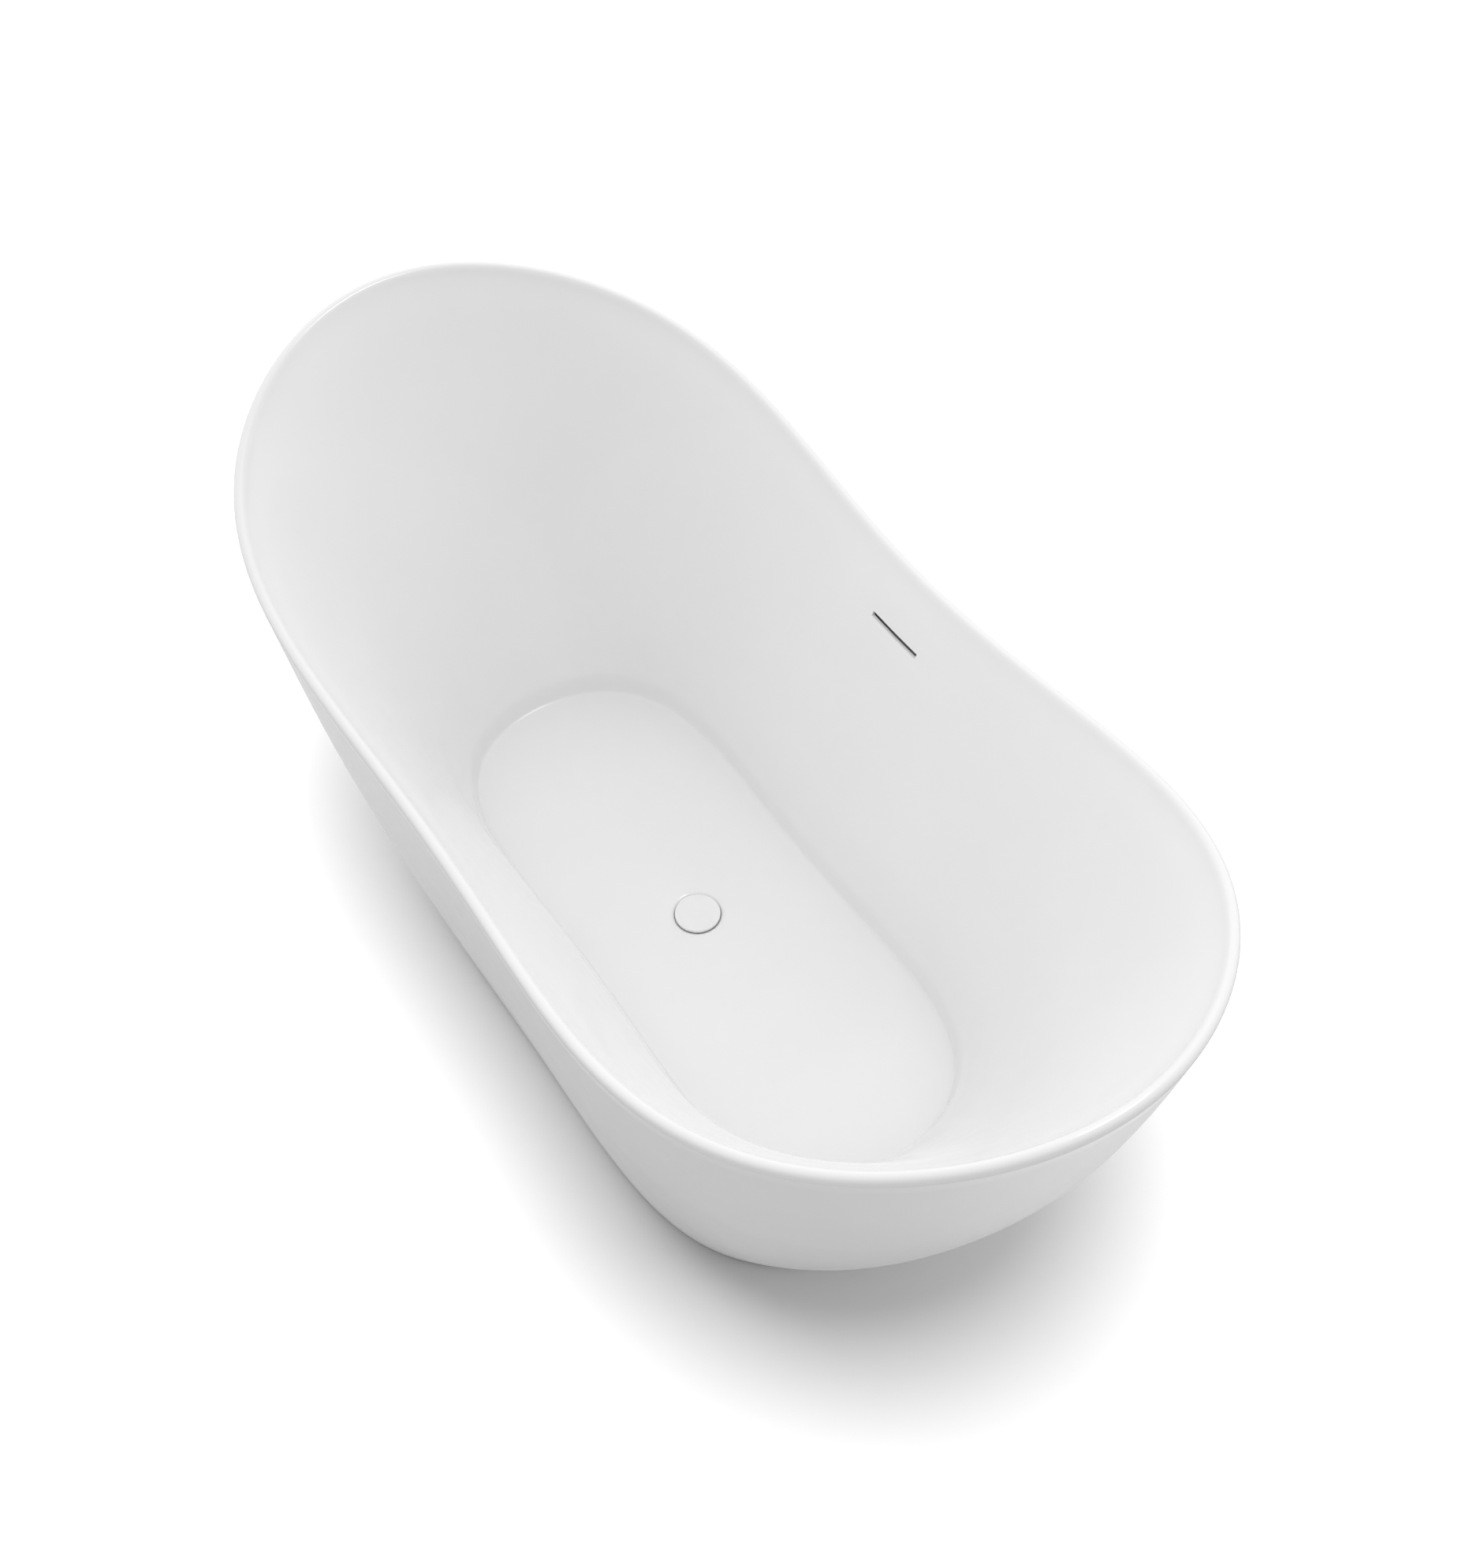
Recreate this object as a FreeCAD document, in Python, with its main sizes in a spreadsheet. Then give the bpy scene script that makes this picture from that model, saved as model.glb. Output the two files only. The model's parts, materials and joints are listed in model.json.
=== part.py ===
import FreeCAD, Part
import Sketcher
import math
import os
import re
from collections import namedtuple

# Freestanding double-ended bathtub: an inner basin with a rolled saddle rim, an outer skirt bonded
# under that rim, a steel support frame on four levelling feet, an overflow behind a slot in the wall
# and a pop-up waste over a low trap. Millimetres. +X runs along the tub, +Y points to the overflow
# side, +Z is up, and the origin is on the floor under the middle of the tub.

Vector = FreeCAD.Vector

DRIVING = {
    # plan and side view of the tub
    "tub_length": 1700,
    "rim_half_width": 392.6,
    "rim_squareness": 45.3,
    "rim_flattening": -12.1,
    "rim_middle_height": 597,
    "rim_end_rise": 154,
    "base_half_length": 536,
    "base_half_width": 294,
    "base_squareness": 41.3,
    "skirt_gap_floor": 2.5,
    "skirt_bulge_length": 0.68,
    "skirt_bulge_width": 0.44,
    "sole_half_length": 503,
    "sole_half_width": 198,
    "sole_squareness": 36,
    "sole_edge_height": 164,
    "wall_hollow_length": -0.10,
    "wall_hollow_width": -0.38,
    "shell_thickness": 5,
    "lip_width": 22,
    "lip_depth": 16,
    "rim_joint": 1.5,
    "laminate_thickness": 3,
    "laminate_gap": 2,
    "batten_thickness": 16,
    "batten_height": 36,
    # support frame and feet
    "tube_side": 30,
    "tube_wall": 2,
    "rail_bottom": 29,
    "rail_offset": 130,
    "rail_half_length": 460,
    "board_length": 760,
    "board_width": 280,
    "board_thickness": 12,
    "board_opening": 55,
    "cross_outer": 330,
    "cross_inner": 130,
    "cross_half_width": 180,
    "foot_x": 330,
    "foot_y": 205,
    "plate_side": 56,
    "plate_thickness": 5,
    "stud_radius": 5,
    "thread_clearance": 0.05,
    "stud_bottom": 6,
    "stud_top": 86,
    "nut_corner": 9.8,
    "adjusting_nut_height": 8,
    "lock_nut_height": 5,
    "pad_radius": 25,
    "pad_height": 8,
    "boss_radius": 9,
    "boss_top": 18,
    # waste and trap, on the vertical axis through the waste hole
    "waste_x": -14,
    "waste_hole_radius": 26,
    "recess_floor_height": 104.5,
    "recess_edge_height": 112.5,
    "tail_radius": 23.7,
    "tail_bore": 20,
    "tail_bottom": 82.5,
    "flange_radius": 32,
    "flange_thickness": 2,
    "gasket_thickness": 1.4,
    "cap_radius": 34,
    "cap_thickness": 4,
    "seal_thickness": 1.5,
    "stem_radius": 4,
    "hub_radius": 8,
    "neck_radius": 29.5,
    "neck_bottom": 60,
    "neck_top": 86.5,
    "neck_flange": 3,
    "cup_radius": 50,
    "cup_wall": 3,
    "cup_bottom": 12,
    "outlet_radius": 20,
    "outlet_height": 34,
    "outlet_reach": 105,
    "inlet_height": 75,
    # overflow
    "overflow_x": -5,
    "overflow_height": 520,
    "slot_length": 101,
    "slot_height": 7,
    "housing_width": 124,
    "housing_depth": 20,
    "housing_wall": 2.5,
    "hose_radius": 11,
    "hose_bore": 9,
    "hose_axis_depth": 22,
}

doc = FreeCAD.newDocument("bathtub")
sheet = doc.addObject("Spreadsheet::Sheet", "Sizes")
for row, (alias, value) in enumerate(DRIVING.items(), start=1):
    sheet.set(f"A{row}", alias)
    sheet.set(f"B{row}", str(value))
    sheet.setAlias(f"B{row}", alias)
doc.recompute()

nodes = []


def size(alias):
    """A driving dimension, read from the sheet."""
    return float(sheet.get(alias))


def bound(expression):
    """Turn names of driving dimensions into references to the sheet."""
    return re.sub(r"[a-z][a-z_]*", lambda word: "Sizes." + word.group(), str(expression))


def value_of(expression):
    """The number that an expression of driving dimensions stands for."""
    total = sheet.evalExpression(bound(expression))
    return float(getattr(total, "Value", total))


def node(item, label):
    """Name a finished sub-part and put it on the list of pieces to write."""
    item.Label = label
    nodes.append(item)
    return item


def bind(item, **expressions):
    for prop, expression in expressions.items():
        item.setExpression(prop, bound(expression))
    return item


def move(item, x=0, y=0, z=0):
    """Bind the place of an object to the sheet."""
    for axis, expression in (("x", x), ("y", y), ("z", z)):
        item.setExpression(f"Placement.Base.{axis}", bound(expression))
    return item


def cylinder(name, radius, low, high, x=0, y=0):
    item = doc.addObject("Part::Cylinder", name)
    bind(item, Radius=radius, Height=f"({high}) - ({low})")
    return move(item, x, y, low)


def lying_cylinder(name, radius, start, end, axis, x=0, y=0, z=0):
    """A round bar along +X or +Y from start to end."""
    item = doc.addObject("Part::Cylinder", name)
    bind(item, Radius=radius, Height=f"({end}) - ({start})")
    if axis == "x":
        item.Placement.Rotation = FreeCAD.Rotation(Vector(0, 1, 0), 90)
        return move(item, start, y, z)
    item.Placement.Rotation = FreeCAD.Rotation(Vector(1, 0, 0), -90)
    return move(item, x, start, z)


def box(name, x, y, z):
    """A block between three pairs of bounds."""
    item = doc.addObject("Part::Box", name)
    spans = [f"({pair[1]}) - ({pair[0]})" for pair in (x, y, z)]
    bind(item, Length=spans[0], Width=spans[1], Height=spans[2])
    return move(item, x[0], y[0], z[0])


def prism(name, corner_radius, low, high, x=0, y=0):
    item = doc.addObject("Part::Prism", name)
    item.Polygon = 6
    bind(item, Circumradius=corner_radius, Height=f"({high}) - ({low})")
    return move(item, x, y, low)


def fuse(name, *shapes):
    item = doc.addObject("Part::MultiFuse", name)
    item.Shapes = list(shapes)
    return item


def cut(name, base, *tools):
    item = doc.addObject("Part::Cut", name)
    item.Base = base
    item.Tool = tools[0] if len(tools) == 1 else fuse(name + "_tools", *tools)
    return item


def group(name, shapes):
    item = doc.addObject("Part::Compound", name)
    item.Links = shapes
    return item


def washer(name, outer, inner, low, high, x=0, y=0):
    """A flat ring about a vertical axis."""
    outside = cylinder(name + "_outside", outer, low, high, x, y)
    inside = cylinder(name + "_inside", inner, f"({low}) - 1", f"({high}) + 1", x, y)
    return cut(name, outside, inside)


def turned(name, profile, x=0, y=0):
    """A body turned about its vertical axis from a half section of (radius, height) corners."""
    body = doc.addObject("PartDesign::Body", name)
    planes = {item.Role: item for item in body.Origin.OriginFeatures}
    sketch = body.newObject("Sketcher::SketchObject", name + "_section")
    sketch.AttachmentSupport = [(planes["XZ_Plane"], "")]
    sketch.MapMode = "FlatFace"
    corners = [Vector(value_of(radius), value_of(height), 0) for radius, height in profile]
    count = len(corners)
    for index in range(count):
        sketch.addGeometry(Part.LineSegment(corners[index], corners[(index + 1) % count]), False)
    for index in range(count):
        sketch.addConstraint(Sketcher.Constraint("Coincident", index, 2, (index + 1) % count, 1))
    for index, (radius, height) in enumerate(profile):
        if corners[index].x == 0:
            sketch.addConstraint(Sketcher.Constraint("PointOnObject", index, 1, -2))
        else:
            across = Sketcher.Constraint("DistanceX", -1, 1, index, 1, corners[index].x)
            sketch.setExpression(f"Constraints[{sketch.addConstraint(across)}]", bound(radius))
        up = Sketcher.Constraint("DistanceY", -1, 1, index, 1, corners[index].y)
        sketch.setExpression(f"Constraints[{sketch.addConstraint(up)}]", bound(height))
    turn = body.newObject("PartDesign::Revolution", name + "_turn")
    turn.Profile = sketch
    turn.ReferenceAxis = (sketch, ["V_Axis"])
    turn.Angle = 360
    body.Tip = turn
    return move(body, x, y, 0)


# ---- the shells: closed oval rings, and sheets that run over them --------------------------------

# An oval ring is x = half_length cos a, y = width terms in sin a, sin 3a and sin 5a, and its height
# follows the saddle, height + rise cos^2 a. The third harmonic squares the ends of the oval.
Ring = namedtuple("Ring", "half_length half_width third fifth height rise centre")
RING_POINTS = 24


def blend(lower, upper, share, bulge_length=0.0, bulge_width=0.0):
    """The ring between two others. A bulge bends the wall outward, a negative one hollows it."""
    crown = share * (1 - share)
    shares = {name: share for name in Ring._fields}
    shares["half_length"] = share + bulge_length * crown
    for name in ("half_width", "third", "fifth"):
        shares[name] = share + bulge_width * crown
    pairs = zip(Ring._fields, lower, upper)
    return Ring(*[low + (high - low) * shares[name] for name, low, high in pairs])


def ring_curve(ring, outward=0.0, upward=0.0):
    """The ring as a smooth closed curve, moved outward in plan and upward."""
    first = ring.half_width + ring.third - ring.fifth
    points = []
    for step in range(RING_POINTS):
        turn = 2 * math.pi * step / RING_POINTS
        x = ring.half_length * math.cos(turn)
        y = first * math.sin(turn) + ring.third * math.sin(3 * turn) + ring.fifth * math.sin(5 * turn)
        along_x = -ring.half_length * math.sin(turn)
        along_y = (first * math.cos(turn) + 3 * ring.third * math.cos(3 * turn)
                   + 5 * ring.fifth * math.cos(5 * turn))
        speed = math.hypot(along_x, along_y)
        z = ring.height + ring.rise * math.cos(turn) ** 2
        points.append(Vector(ring.centre + x + outward * along_y / speed,
                             y - outward * along_x / speed, z + upward))
    curve = Part.BSplineCurve()
    parameters = [step / RING_POINTS for step in range(RING_POINTS + 1)]
    curve.interpolate(Points=points, PeriodicFlag=True, Parameters=parameters)
    return curve


def sheet_over(curves, degree=2):
    """One smooth face whose rows of poles are the poles of the ring curves."""
    spans = len(curves) - degree
    knots = list(range(spans + 1))
    multiplicities = [degree + 1] + [1] * (spans - 1) + [degree + 1]
    around = curves[0]
    surface = Part.BSplineSurface()
    surface.buildFromPolesMultsKnots([curve.getPoles() for curve in curves], multiplicities,
                                     around.getMultiplicities(), knots, around.getKnots(),
                                     False, True, degree, around.Degree)
    return surface.toShape()


def shell_between(front, back):
    """A closed solid between two sheets that share no edge: ruled strips close both ends."""
    faces = [sheet_over(front), sheet_over(back)]
    for end in (0, -1):
        faces.append(Part.makeRuledSurface(front[end].toShape(), back[end].toShape()))
    sewn = Part.Compound(faces)
    sewn.sewShape(0.01)
    solid = Part.Solid(sewn.Shells[0])
    if solid.Volume < 0:
        solid.reverse()
    return solid


def shell_feature(name, solid):
    item = doc.addObject("Part::Feature", name)
    item.Shape = solid
    item.Placement = FreeCAD.Placement()
    return item


thickness = size("shell_thickness")
waste_x = size("waste_x")
half_length = size("tub_length") / 2
rim = Ring(half_length, size("rim_half_width"), size("rim_squareness"), size("rim_flattening"),
           size("rim_middle_height"), size("rim_end_rise"), 0.0)
sole = Ring(size("sole_half_length"), size("sole_half_width"), size("sole_squareness"), 0.0,
            size("sole_edge_height"), 0.0, 0.0)
wall_top = Ring(half_length - size("lip_width"), size("rim_half_width") - size("lip_width"),
                rim.third, rim.fifth, rim.height - 9, rim.rise, 0.0)
skirt_bottom = Ring(size("base_half_length"), size("base_half_width"), size("base_squareness"), 0.0,
                    size("skirt_gap_floor"), 0.0, 0.0)
skirt_drop = size("lip_depth") + size("rim_joint")
skirt_top = rim._replace(half_length=rim.half_length - 1.5, half_width=rim.half_width - 1.5,
                         height=rim.height - skirt_drop)


def round_ring(radius, height):
    """A round ring about the waste."""
    return Ring(radius, radius, 0.0, 0.0, height, 0.0, waste_x)


def basin_wall(share):
    """The ring at a share of the way up the basin's wall, from the sole's edge to the lip."""
    return blend(sole, wall_top, share, size("wall_hollow_length"), size("wall_hollow_width"))


def skirt_wall(share):
    """The ring at a share of the way up the skirt."""
    return blend(skirt_bottom, skirt_top, share, size("skirt_bulge_length"), size("skirt_bulge_width"))


recess_floor = size("recess_floor_height")
recess_edge = size("recess_edge_height")
dish = Ring(340.0, 150.0, 20.0, 0.0, 127.0, 0.0, 0.0)
WALL_SHARES = (0.04, 0.2, 0.45, 0.7, 0.9)


def floor_rings(start, outward, downward):
    """The dished floor and the fillet up to the wall, moved by an offset to the back of the shell."""
    rings = [ring_curve(round_ring(radius, height), 0, -downward) for radius, height in start]
    rings.append(ring_curve(dish, 0, -downward))
    rings.append(ring_curve(sole, -28, -35.8 - downward))
    rings.append(ring_curve(sole, -15 + 0.4 * outward, -35 - downward))
    rings.append(ring_curve(sole, -10.5 + 0.75 * outward, -31 - 0.75 * downward))
    rings.append(ring_curve(sole, -5 + outward, -7 - 0.3 * downward))
    rings.append(ring_curve(sole, -2 + 1.1 * outward, 0.5))
    return rings


hole = (size("waste_hole_radius"), recess_floor)
inner_start = (hole, (33.5, recess_floor), (35.8, recess_edge - 3), (44, recess_edge))
back_start = (hole, (39, recess_floor), (44.5, recess_edge - 1), (50, recess_edge))
lip_section = ((-21, -17), (-13.5, -1), (-6, 0.9), (0, -2.5), (0, -11), (-1, -size("lip_depth")))

basin_front = floor_rings(inner_start, 0, 0)
basin_front += [ring_curve(basin_wall(share)) for share in WALL_SHARES]
basin_front += [ring_curve(rim, outward, upward) for outward, upward in lip_section]
basin_back = floor_rings(back_start, thickness, thickness)
basin_back += [ring_curve(basin_wall(share), 1.1 * thickness) for share in WALL_SHARES]
basin_back.append(ring_curve(rim, 2 - size("lip_width"), -size("lip_depth")))
basin_blank = shell_feature("basin_blank", shell_between(basin_front, basin_back))

# the overflow's place on the wall: how far up it is, how far out, and how the wall leans there
wall_rise = wall_top.height - sole.height
overflow_share = (size("overflow_height") - sole.height) / wall_rise
overflow_y = basin_wall(overflow_share).half_width
wall_run = (wall_top.half_width - sole.half_width) * (
    1 + size("wall_hollow_width") * (1 - 2 * overflow_share))
overflow_lean = math.degrees(math.atan2(wall_run, wall_rise))
overflow_place = FreeCAD.Placement(Vector(size("overflow_x"), overflow_y, size("overflow_height")),
                                   FreeCAD.Rotation(Vector(1, 0, 0), -overflow_lean))


def on_wall(item):
    """Carry an object drawn about the slot (+Y out of the wall's back, +Z up the wall) to its place."""
    local = item.Placement
    item.Placement = overflow_place.multiply(local)
    return item


def wall_box(name, x, y, z):
    """A block drawn about the slot and carried to the wall."""
    item = doc.addObject("Part::Box", name)
    spans = [f"({pair[1]}) - ({pair[0]})" for pair in (x, y, z)]
    bind(item, Length=spans[0], Width=spans[1], Height=spans[2])
    item.Placement.Base = Vector(*[value_of(pair[0]) for pair in (x, y, z)])
    return on_wall(item)


slot = box("overflow_slot", ("overflow_x - slot_length / 2", "overflow_x + slot_length / 2"),
           (round(overflow_y) - 12, round(overflow_y) + 14),
           ("overflow_height - slot_height / 2", "overflow_height + slot_height / 2"))
node(cut("basin_cut", basin_blank, slot), "basin")

skirt_shares = (0, 0.25, 0.5, 0.75, 1)
skirt_front = [ring_curve(skirt_wall(share)) for share in skirt_shares]
skirt_back = [ring_curve(skirt_wall(share), -thickness) for share in skirt_shares]
node(shell_feature("skirt_solid", shell_between(skirt_front, skirt_back)), "skirt")

# glass-fibre laminate on the back of the basin, open round the waste, up to below the overflow
laminate_faces = []
for layer in (size("laminate_gap"), size("laminate_gap") + size("laminate_thickness")):
    depth = thickness + layer
    rings = floor_rings(((62, recess_edge), (72, recess_edge)), depth, depth)
    rings += [ring_curve(basin_wall(share), 1.1 * thickness + layer) for share in (0.04, 0.2, 0.45, 0.6)]
    laminate_faces.append(rings)
node(shell_feature("laminate_solid", shell_between(*laminate_faces)), "basin_laminate")

# bead of adhesive in the joint between the lip and the skirt
bead_front = [ring_curve(rim, -2.5, -skirt_drop + rise) for rise in (0.2, 0.7, 1.3)]
bead_back = [ring_curve(rim, -6, -skirt_drop + rise) for rise in (0.2, 0.7, 1.3)]
node(shell_feature("bead_solid", shell_between(bead_front, bead_back)), "rim_joint_bead")

# batten round the inside of the skirt's foot
batten_shares = [share * size("batten_height") / rim.height for share in (0, 0.5, 1)]
batten_gap = thickness + 1.5
batten_front = [ring_curve(skirt_wall(share), -batten_gap, 2) for share in batten_shares]
batten_back = [ring_curve(skirt_wall(share), -batten_gap - size("batten_thickness"), 2)
               for share in batten_shares]
batten_blank = shell_feature("batten_solid", shell_between(batten_front, batten_back))

# ---- the support frame ---------------------------------------------------------------------------


def square_tube(name, axis, x, y, z):
    """A square tube along X or Y between three pairs of bounds."""
    outside = box(name + "_outside", x, y, z)
    inner = [[f"({pair[0]}) + tube_wall", f"({pair[1]}) - tube_wall"] for pair in (x, y, z)]
    inner["xy".index(axis)] = (x, y)["xy".index(axis)]
    return cut(name, outside, box(name + "_inside", *inner))


rail_top = "rail_bottom + tube_side"
cross_top = "rail_bottom + 2 * tube_side"
for name, side in (("near", -1), ("far", 1)):
    middle = f"{side} * rail_offset"
    node(square_tube(f"rail_{name}", "x", ("-rail_half_length", "rail_half_length"),
                     (f"{middle} - tube_side / 2", f"{middle} + tube_side / 2"),
                     ("rail_bottom", rail_top)), f"frame_rail_{name}")

# Each cross member carries two screws up into the board, one near each side.
screw_y = 95
screw_radius = 2.4
screw_places = []
for name, reach in (("head", "-cross_outer"), ("inner_head", "-cross_inner"),
                    ("inner_foot", "cross_inner"), ("foot", "cross_outer")):
    tube = square_tube(f"cross_{name}", "y", (f"{reach} - tube_side / 2", f"{reach} + tube_side / 2"),
                       ("-cross_half_width", "cross_half_width"), (rail_top, cross_top))
    holes = []
    for side in (-1, 1):
        screw_places.append((reach, side * screw_y))
        holes.append(cylinder(f"cross_{name}_hole_{side + 1}", screw_radius + 0.1, rail_top + " - 1",
                              cross_top + " + 1", reach, side * screw_y))
    node(cut(f"cross_{name}_drilled", tube, *holes), f"cross_member_{name}")

board_top = cross_top + " + board_thickness"
board = box("board_blank", ("-board_length / 2", "board_length / 2"),
            ("-board_width / 2", "board_width / 2"), (cross_top, board_top))
board_holes = [cylinder("board_opening_hole", "board_opening", cross_top + " - 1", board_top + " + 1",
                        "waste_x")]
screws = []
for index, (x, y) in enumerate(screw_places):
    board_holes.append(cylinder(f"board_hole_{index}", screw_radius + 0.1, cross_top + " - 1",
                                board_top + " - 1", x, y))
    head = cylinder(f"frame_screw_head_{index}", 4.5, rail_top + " - 3", rail_top, x, y)
    shank = cylinder(f"frame_screw_shank_{index}", screw_radius, rail_top + " - 1",
                     board_top + " - 2", x, y)
    screws.append(fuse(f"frame_screw_{index}", head, shank))
node(cut("board", board, *board_holes), "base_board")
node(group("frame_screw_group", screws), "frame_screws")

# ---- levelling feet: plate, stud, pad and two nuts at each corner --------------------------------

plate_low = rail_top + " - plate_thickness"
bore = "stud_radius + thread_clearance"
plates = []
for end, sign_x in (("head", -1), ("foot", 1)):
    for side, sign_y in (("near", -1), ("far", 1)):
        corner = f"{end}_{side}"
        x = f"{sign_x} * foot_x"
        y = f"{sign_y} * foot_y"
        inner_edge = f"{sign_y} * (foot_y - 40)"
        outer_edge = f"{sign_y} * (foot_y + 20)"
        plate_y = (inner_edge, outer_edge) if sign_y > 0 else (outer_edge, inner_edge)
        plate = box(f"plate_{corner}_blank", (f"{x} - plate_side / 2", f"{x} + plate_side / 2"),
                    plate_y, (plate_low, rail_top))
        plate_hole = cylinder(f"plate_{corner}_hole", "stud_radius + 0.5", plate_low + " - 1",
                              rail_top + " + 1", x, y)
        plates.append(cut(f"plate_{corner}", plate, plate_hole))

        node(cylinder(f"stud_{corner}", "stud_radius", "stud_bottom", "stud_top", x, y),
             f"foot_stud_{corner}")
        pad = turned(f"pad_{corner}", (
            (0, 0), ("pad_radius - 2", 0), ("pad_radius", 2), ("pad_radius", "pad_height - 3"),
            ("boss_radius + 3", "pad_height"), ("boss_radius", "pad_height + 3"),
            ("boss_radius", "boss_top"), (bore, "boss_top"), (bore, "stud_bottom"),
            (0, "stud_bottom")), x, y)
        node(pad, f"foot_pad_{corner}")
        for kind, low, high in (
                ("adjusting", plate_low + " - adjusting_nut_height", plate_low),
                ("lock", rail_top, rail_top + " + lock_nut_height")):
            blank = prism(f"{kind}_{corner}_blank", "nut_corner", low, high, x, y)
            thread = cylinder(f"{kind}_{corner}_thread", bore, f"({low}) - 1", f"({high}) + 1", x, y)
            node(cut(f"{kind}_{corner}", blank, thread), f"foot_{kind}_nut_{corner}")
node(group("foot_plate_group", plates), "foot_plates")

# ---- stays from the rails to the batten ----------------------------------------------------------

stay_x = 200
stay_end = 270
stay_thickness = 4
stay_low = 40
stay_screw_height = 26
stays = []
stay_screws = []
batten_holes = []
for index, (sign_x, sign_y) in enumerate(((-1, -1), (-1, 1), (1, -1), (1, 1))):
    x = (sign_x * stay_x - 12, sign_x * stay_x + 12)
    start = "(rail_offset + tube_side / 2)"
    if sign_y > 0:
        arm_y = (start, stay_end)
        leg_y = (stay_end - stay_thickness, stay_end)
    else:
        arm_y = (-stay_end, "-" + start)
        leg_y = (-stay_end, -stay_end + stay_thickness)
    arm = box(f"stay_arm_{index}", x, arm_y, (stay_low, stay_low + stay_thickness))
    leg = box(f"stay_leg_{index}", x, leg_y, (14, stay_low + 1))
    head_y = stay_end - stay_thickness - 3
    spans = {"stay_hole": (2.1, head_y, 292), "stay_shank": (2, head_y, 285),
             "stay_head": (4.2, head_y, stay_end - stay_thickness)}
    bars = {}
    for name, (radius, near, far) in spans.items():
        low, high = (near, far) if sign_y > 0 else (-far, -near)
        bars[name] = lying_cylinder(f"{name}_{index}", radius, low, high, "y", sign_x * stay_x, 0,
                                    stay_screw_height)
    stays.append(cut(f"stay_{index}", fuse(f"stay_blank_{index}", arm, leg), bars["stay_hole"]))
    batten_holes.append(bars["stay_hole"])
    stay_screws.append(fuse(f"stay_screw_{index}", bars["stay_shank"], bars["stay_head"]))
node(cut("batten_drilled", batten_blank, *batten_holes), "base_batten")
node(group("stay_group", stays), "skirt_stays")
node(group("stay_screw_group", stay_screws), "stay_screws")

# ---- pop-up waste --------------------------------------------------------------------------------

gasket_low = "recess_floor_height + 0.1"
flange_low = f"{gasket_low} + gasket_thickness"
flange_top = f"{flange_low} + flange_thickness"
seal_top = f"{flange_top} + seal_thickness"
cap_top = f"{seal_top} + cap_thickness"

flange_ring = washer("flange_ring", "flange_radius", "tail_bore", flange_low, flange_top, "waste_x")
tail = washer("flange_tail", "tail_radius", "tail_bore", "tail_bottom", flange_top, "waste_x")
hub = cylinder("flange_hub", "hub_radius", 86, 98, "waste_x")
arms = []
for index in range(3):
    arm = doc.addObject("Part::Box", f"flange_arm_{index}")
    bind(arm, Length="tail_bore + 1", Width=3, Height=8)
    turn = FreeCAD.Rotation(Vector(0, 0, 1), 120 * index)
    arm.Placement = FreeCAD.Placement(Vector(waste_x, 0, 88) + turn.multVec(Vector(0, -1.5, 0)), turn)
    arms.append(arm)
stem_bore = cylinder("flange_stem_bore", "stem_radius + thread_clearance", 80, 100, "waste_x")
node(cut("waste_flange_bored", fuse("waste_flange_blank", flange_ring, tail, hub, *arms), stem_bore),
     "waste_flange")
node(washer("gasket_upper", "flange_radius - 4", "tail_radius + 0.5", gasket_low,
            f"{gasket_low} + gasket_thickness", "waste_x"), "waste_gasket_upper")
back_of_recess = "(recess_floor_height - shell_thickness)"
node(washer("gasket_lower", 36, "tail_radius + 0.5", f"{back_of_recess} - 3.5",
            f"{back_of_recess} - 0.1", "waste_x"), "waste_gasket_lower")
backnut_top = f"{back_of_recess} - 3.6"
backnut = prism("backnut_blank", 35.8, "neck_top + 0.4", backnut_top, "waste_x")
backnut_thread = cylinder("backnut_thread", "tail_radius + thread_clearance", 80, 100, "waste_x")
node(cut("backnut", backnut, backnut_thread), "waste_backnut")

node(turned("cap", (
    (0, seal_top), ("cap_radius - 1", seal_top), ("cap_radius", f"{seal_top} + 1"),
    ("cap_radius", f"{cap_top} - 1.6"), ("cap_radius - 0.5", f"{cap_top} - 0.8"),
    ("cap_radius - 2", f"{cap_top} - 0.3"), ("cap_radius - 8", cap_top), (0, f"{cap_top} + 0.3")),
    "waste_x"), "plug_cap")
node(washer("seal", 27, "tail_bore + 0.5", flange_top, seal_top, "waste_x"), "plug_seal")
node(cylinder("stem", "stem_radius", 70, seal_top, "waste_x"), "plug_stem")
node(washer("cartridge", 7, "stem_radius + thread_clearance", 66, 86, "waste_x"), "plug_cartridge")

# ---- trap ----------------------------------------------------------------------------------------

cup_top = "(neck_bottom - 1.6)"
neck_tube = cylinder("neck_tube", "neck_radius", "neck_bottom", "neck_top", "waste_x")
neck_flange = cylinder("neck_flange", "cup_radius", "neck_bottom",
                       "neck_bottom + neck_flange", "waste_x")
inlet = lying_cylinder("neck_inlet", "hose_bore - 0.1", "neck_radius - 3", "neck_radius + 60", "y",
                       "waste_x", 0, "inlet_height")
inlet_bore = lying_cylinder("neck_inlet_bore", 6.5, 10, "neck_radius + 61", "y", "waste_x", 0,
                            "inlet_height")
neck_bore = cylinder("neck_bore", "tail_radius + 0.1", "neck_bottom - 1", "neck_top + 1", "waste_x")
node(cut("neck", fuse("neck_blank", neck_tube, neck_flange, inlet), neck_bore, inlet_bore),
     "trap_neck")
node(washer("dip_tube", "tail_radius", "tail_radius - 2", 24, "neck_bottom + neck_flange", "waste_x"),
     "trap_dip_tube")
node(washer("trap_seal", "cup_radius - 0.2", "cup_radius - cup_wall", cup_top, "neck_bottom - 0.1",
            "waste_x"), "trap_seal_ring")

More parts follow.
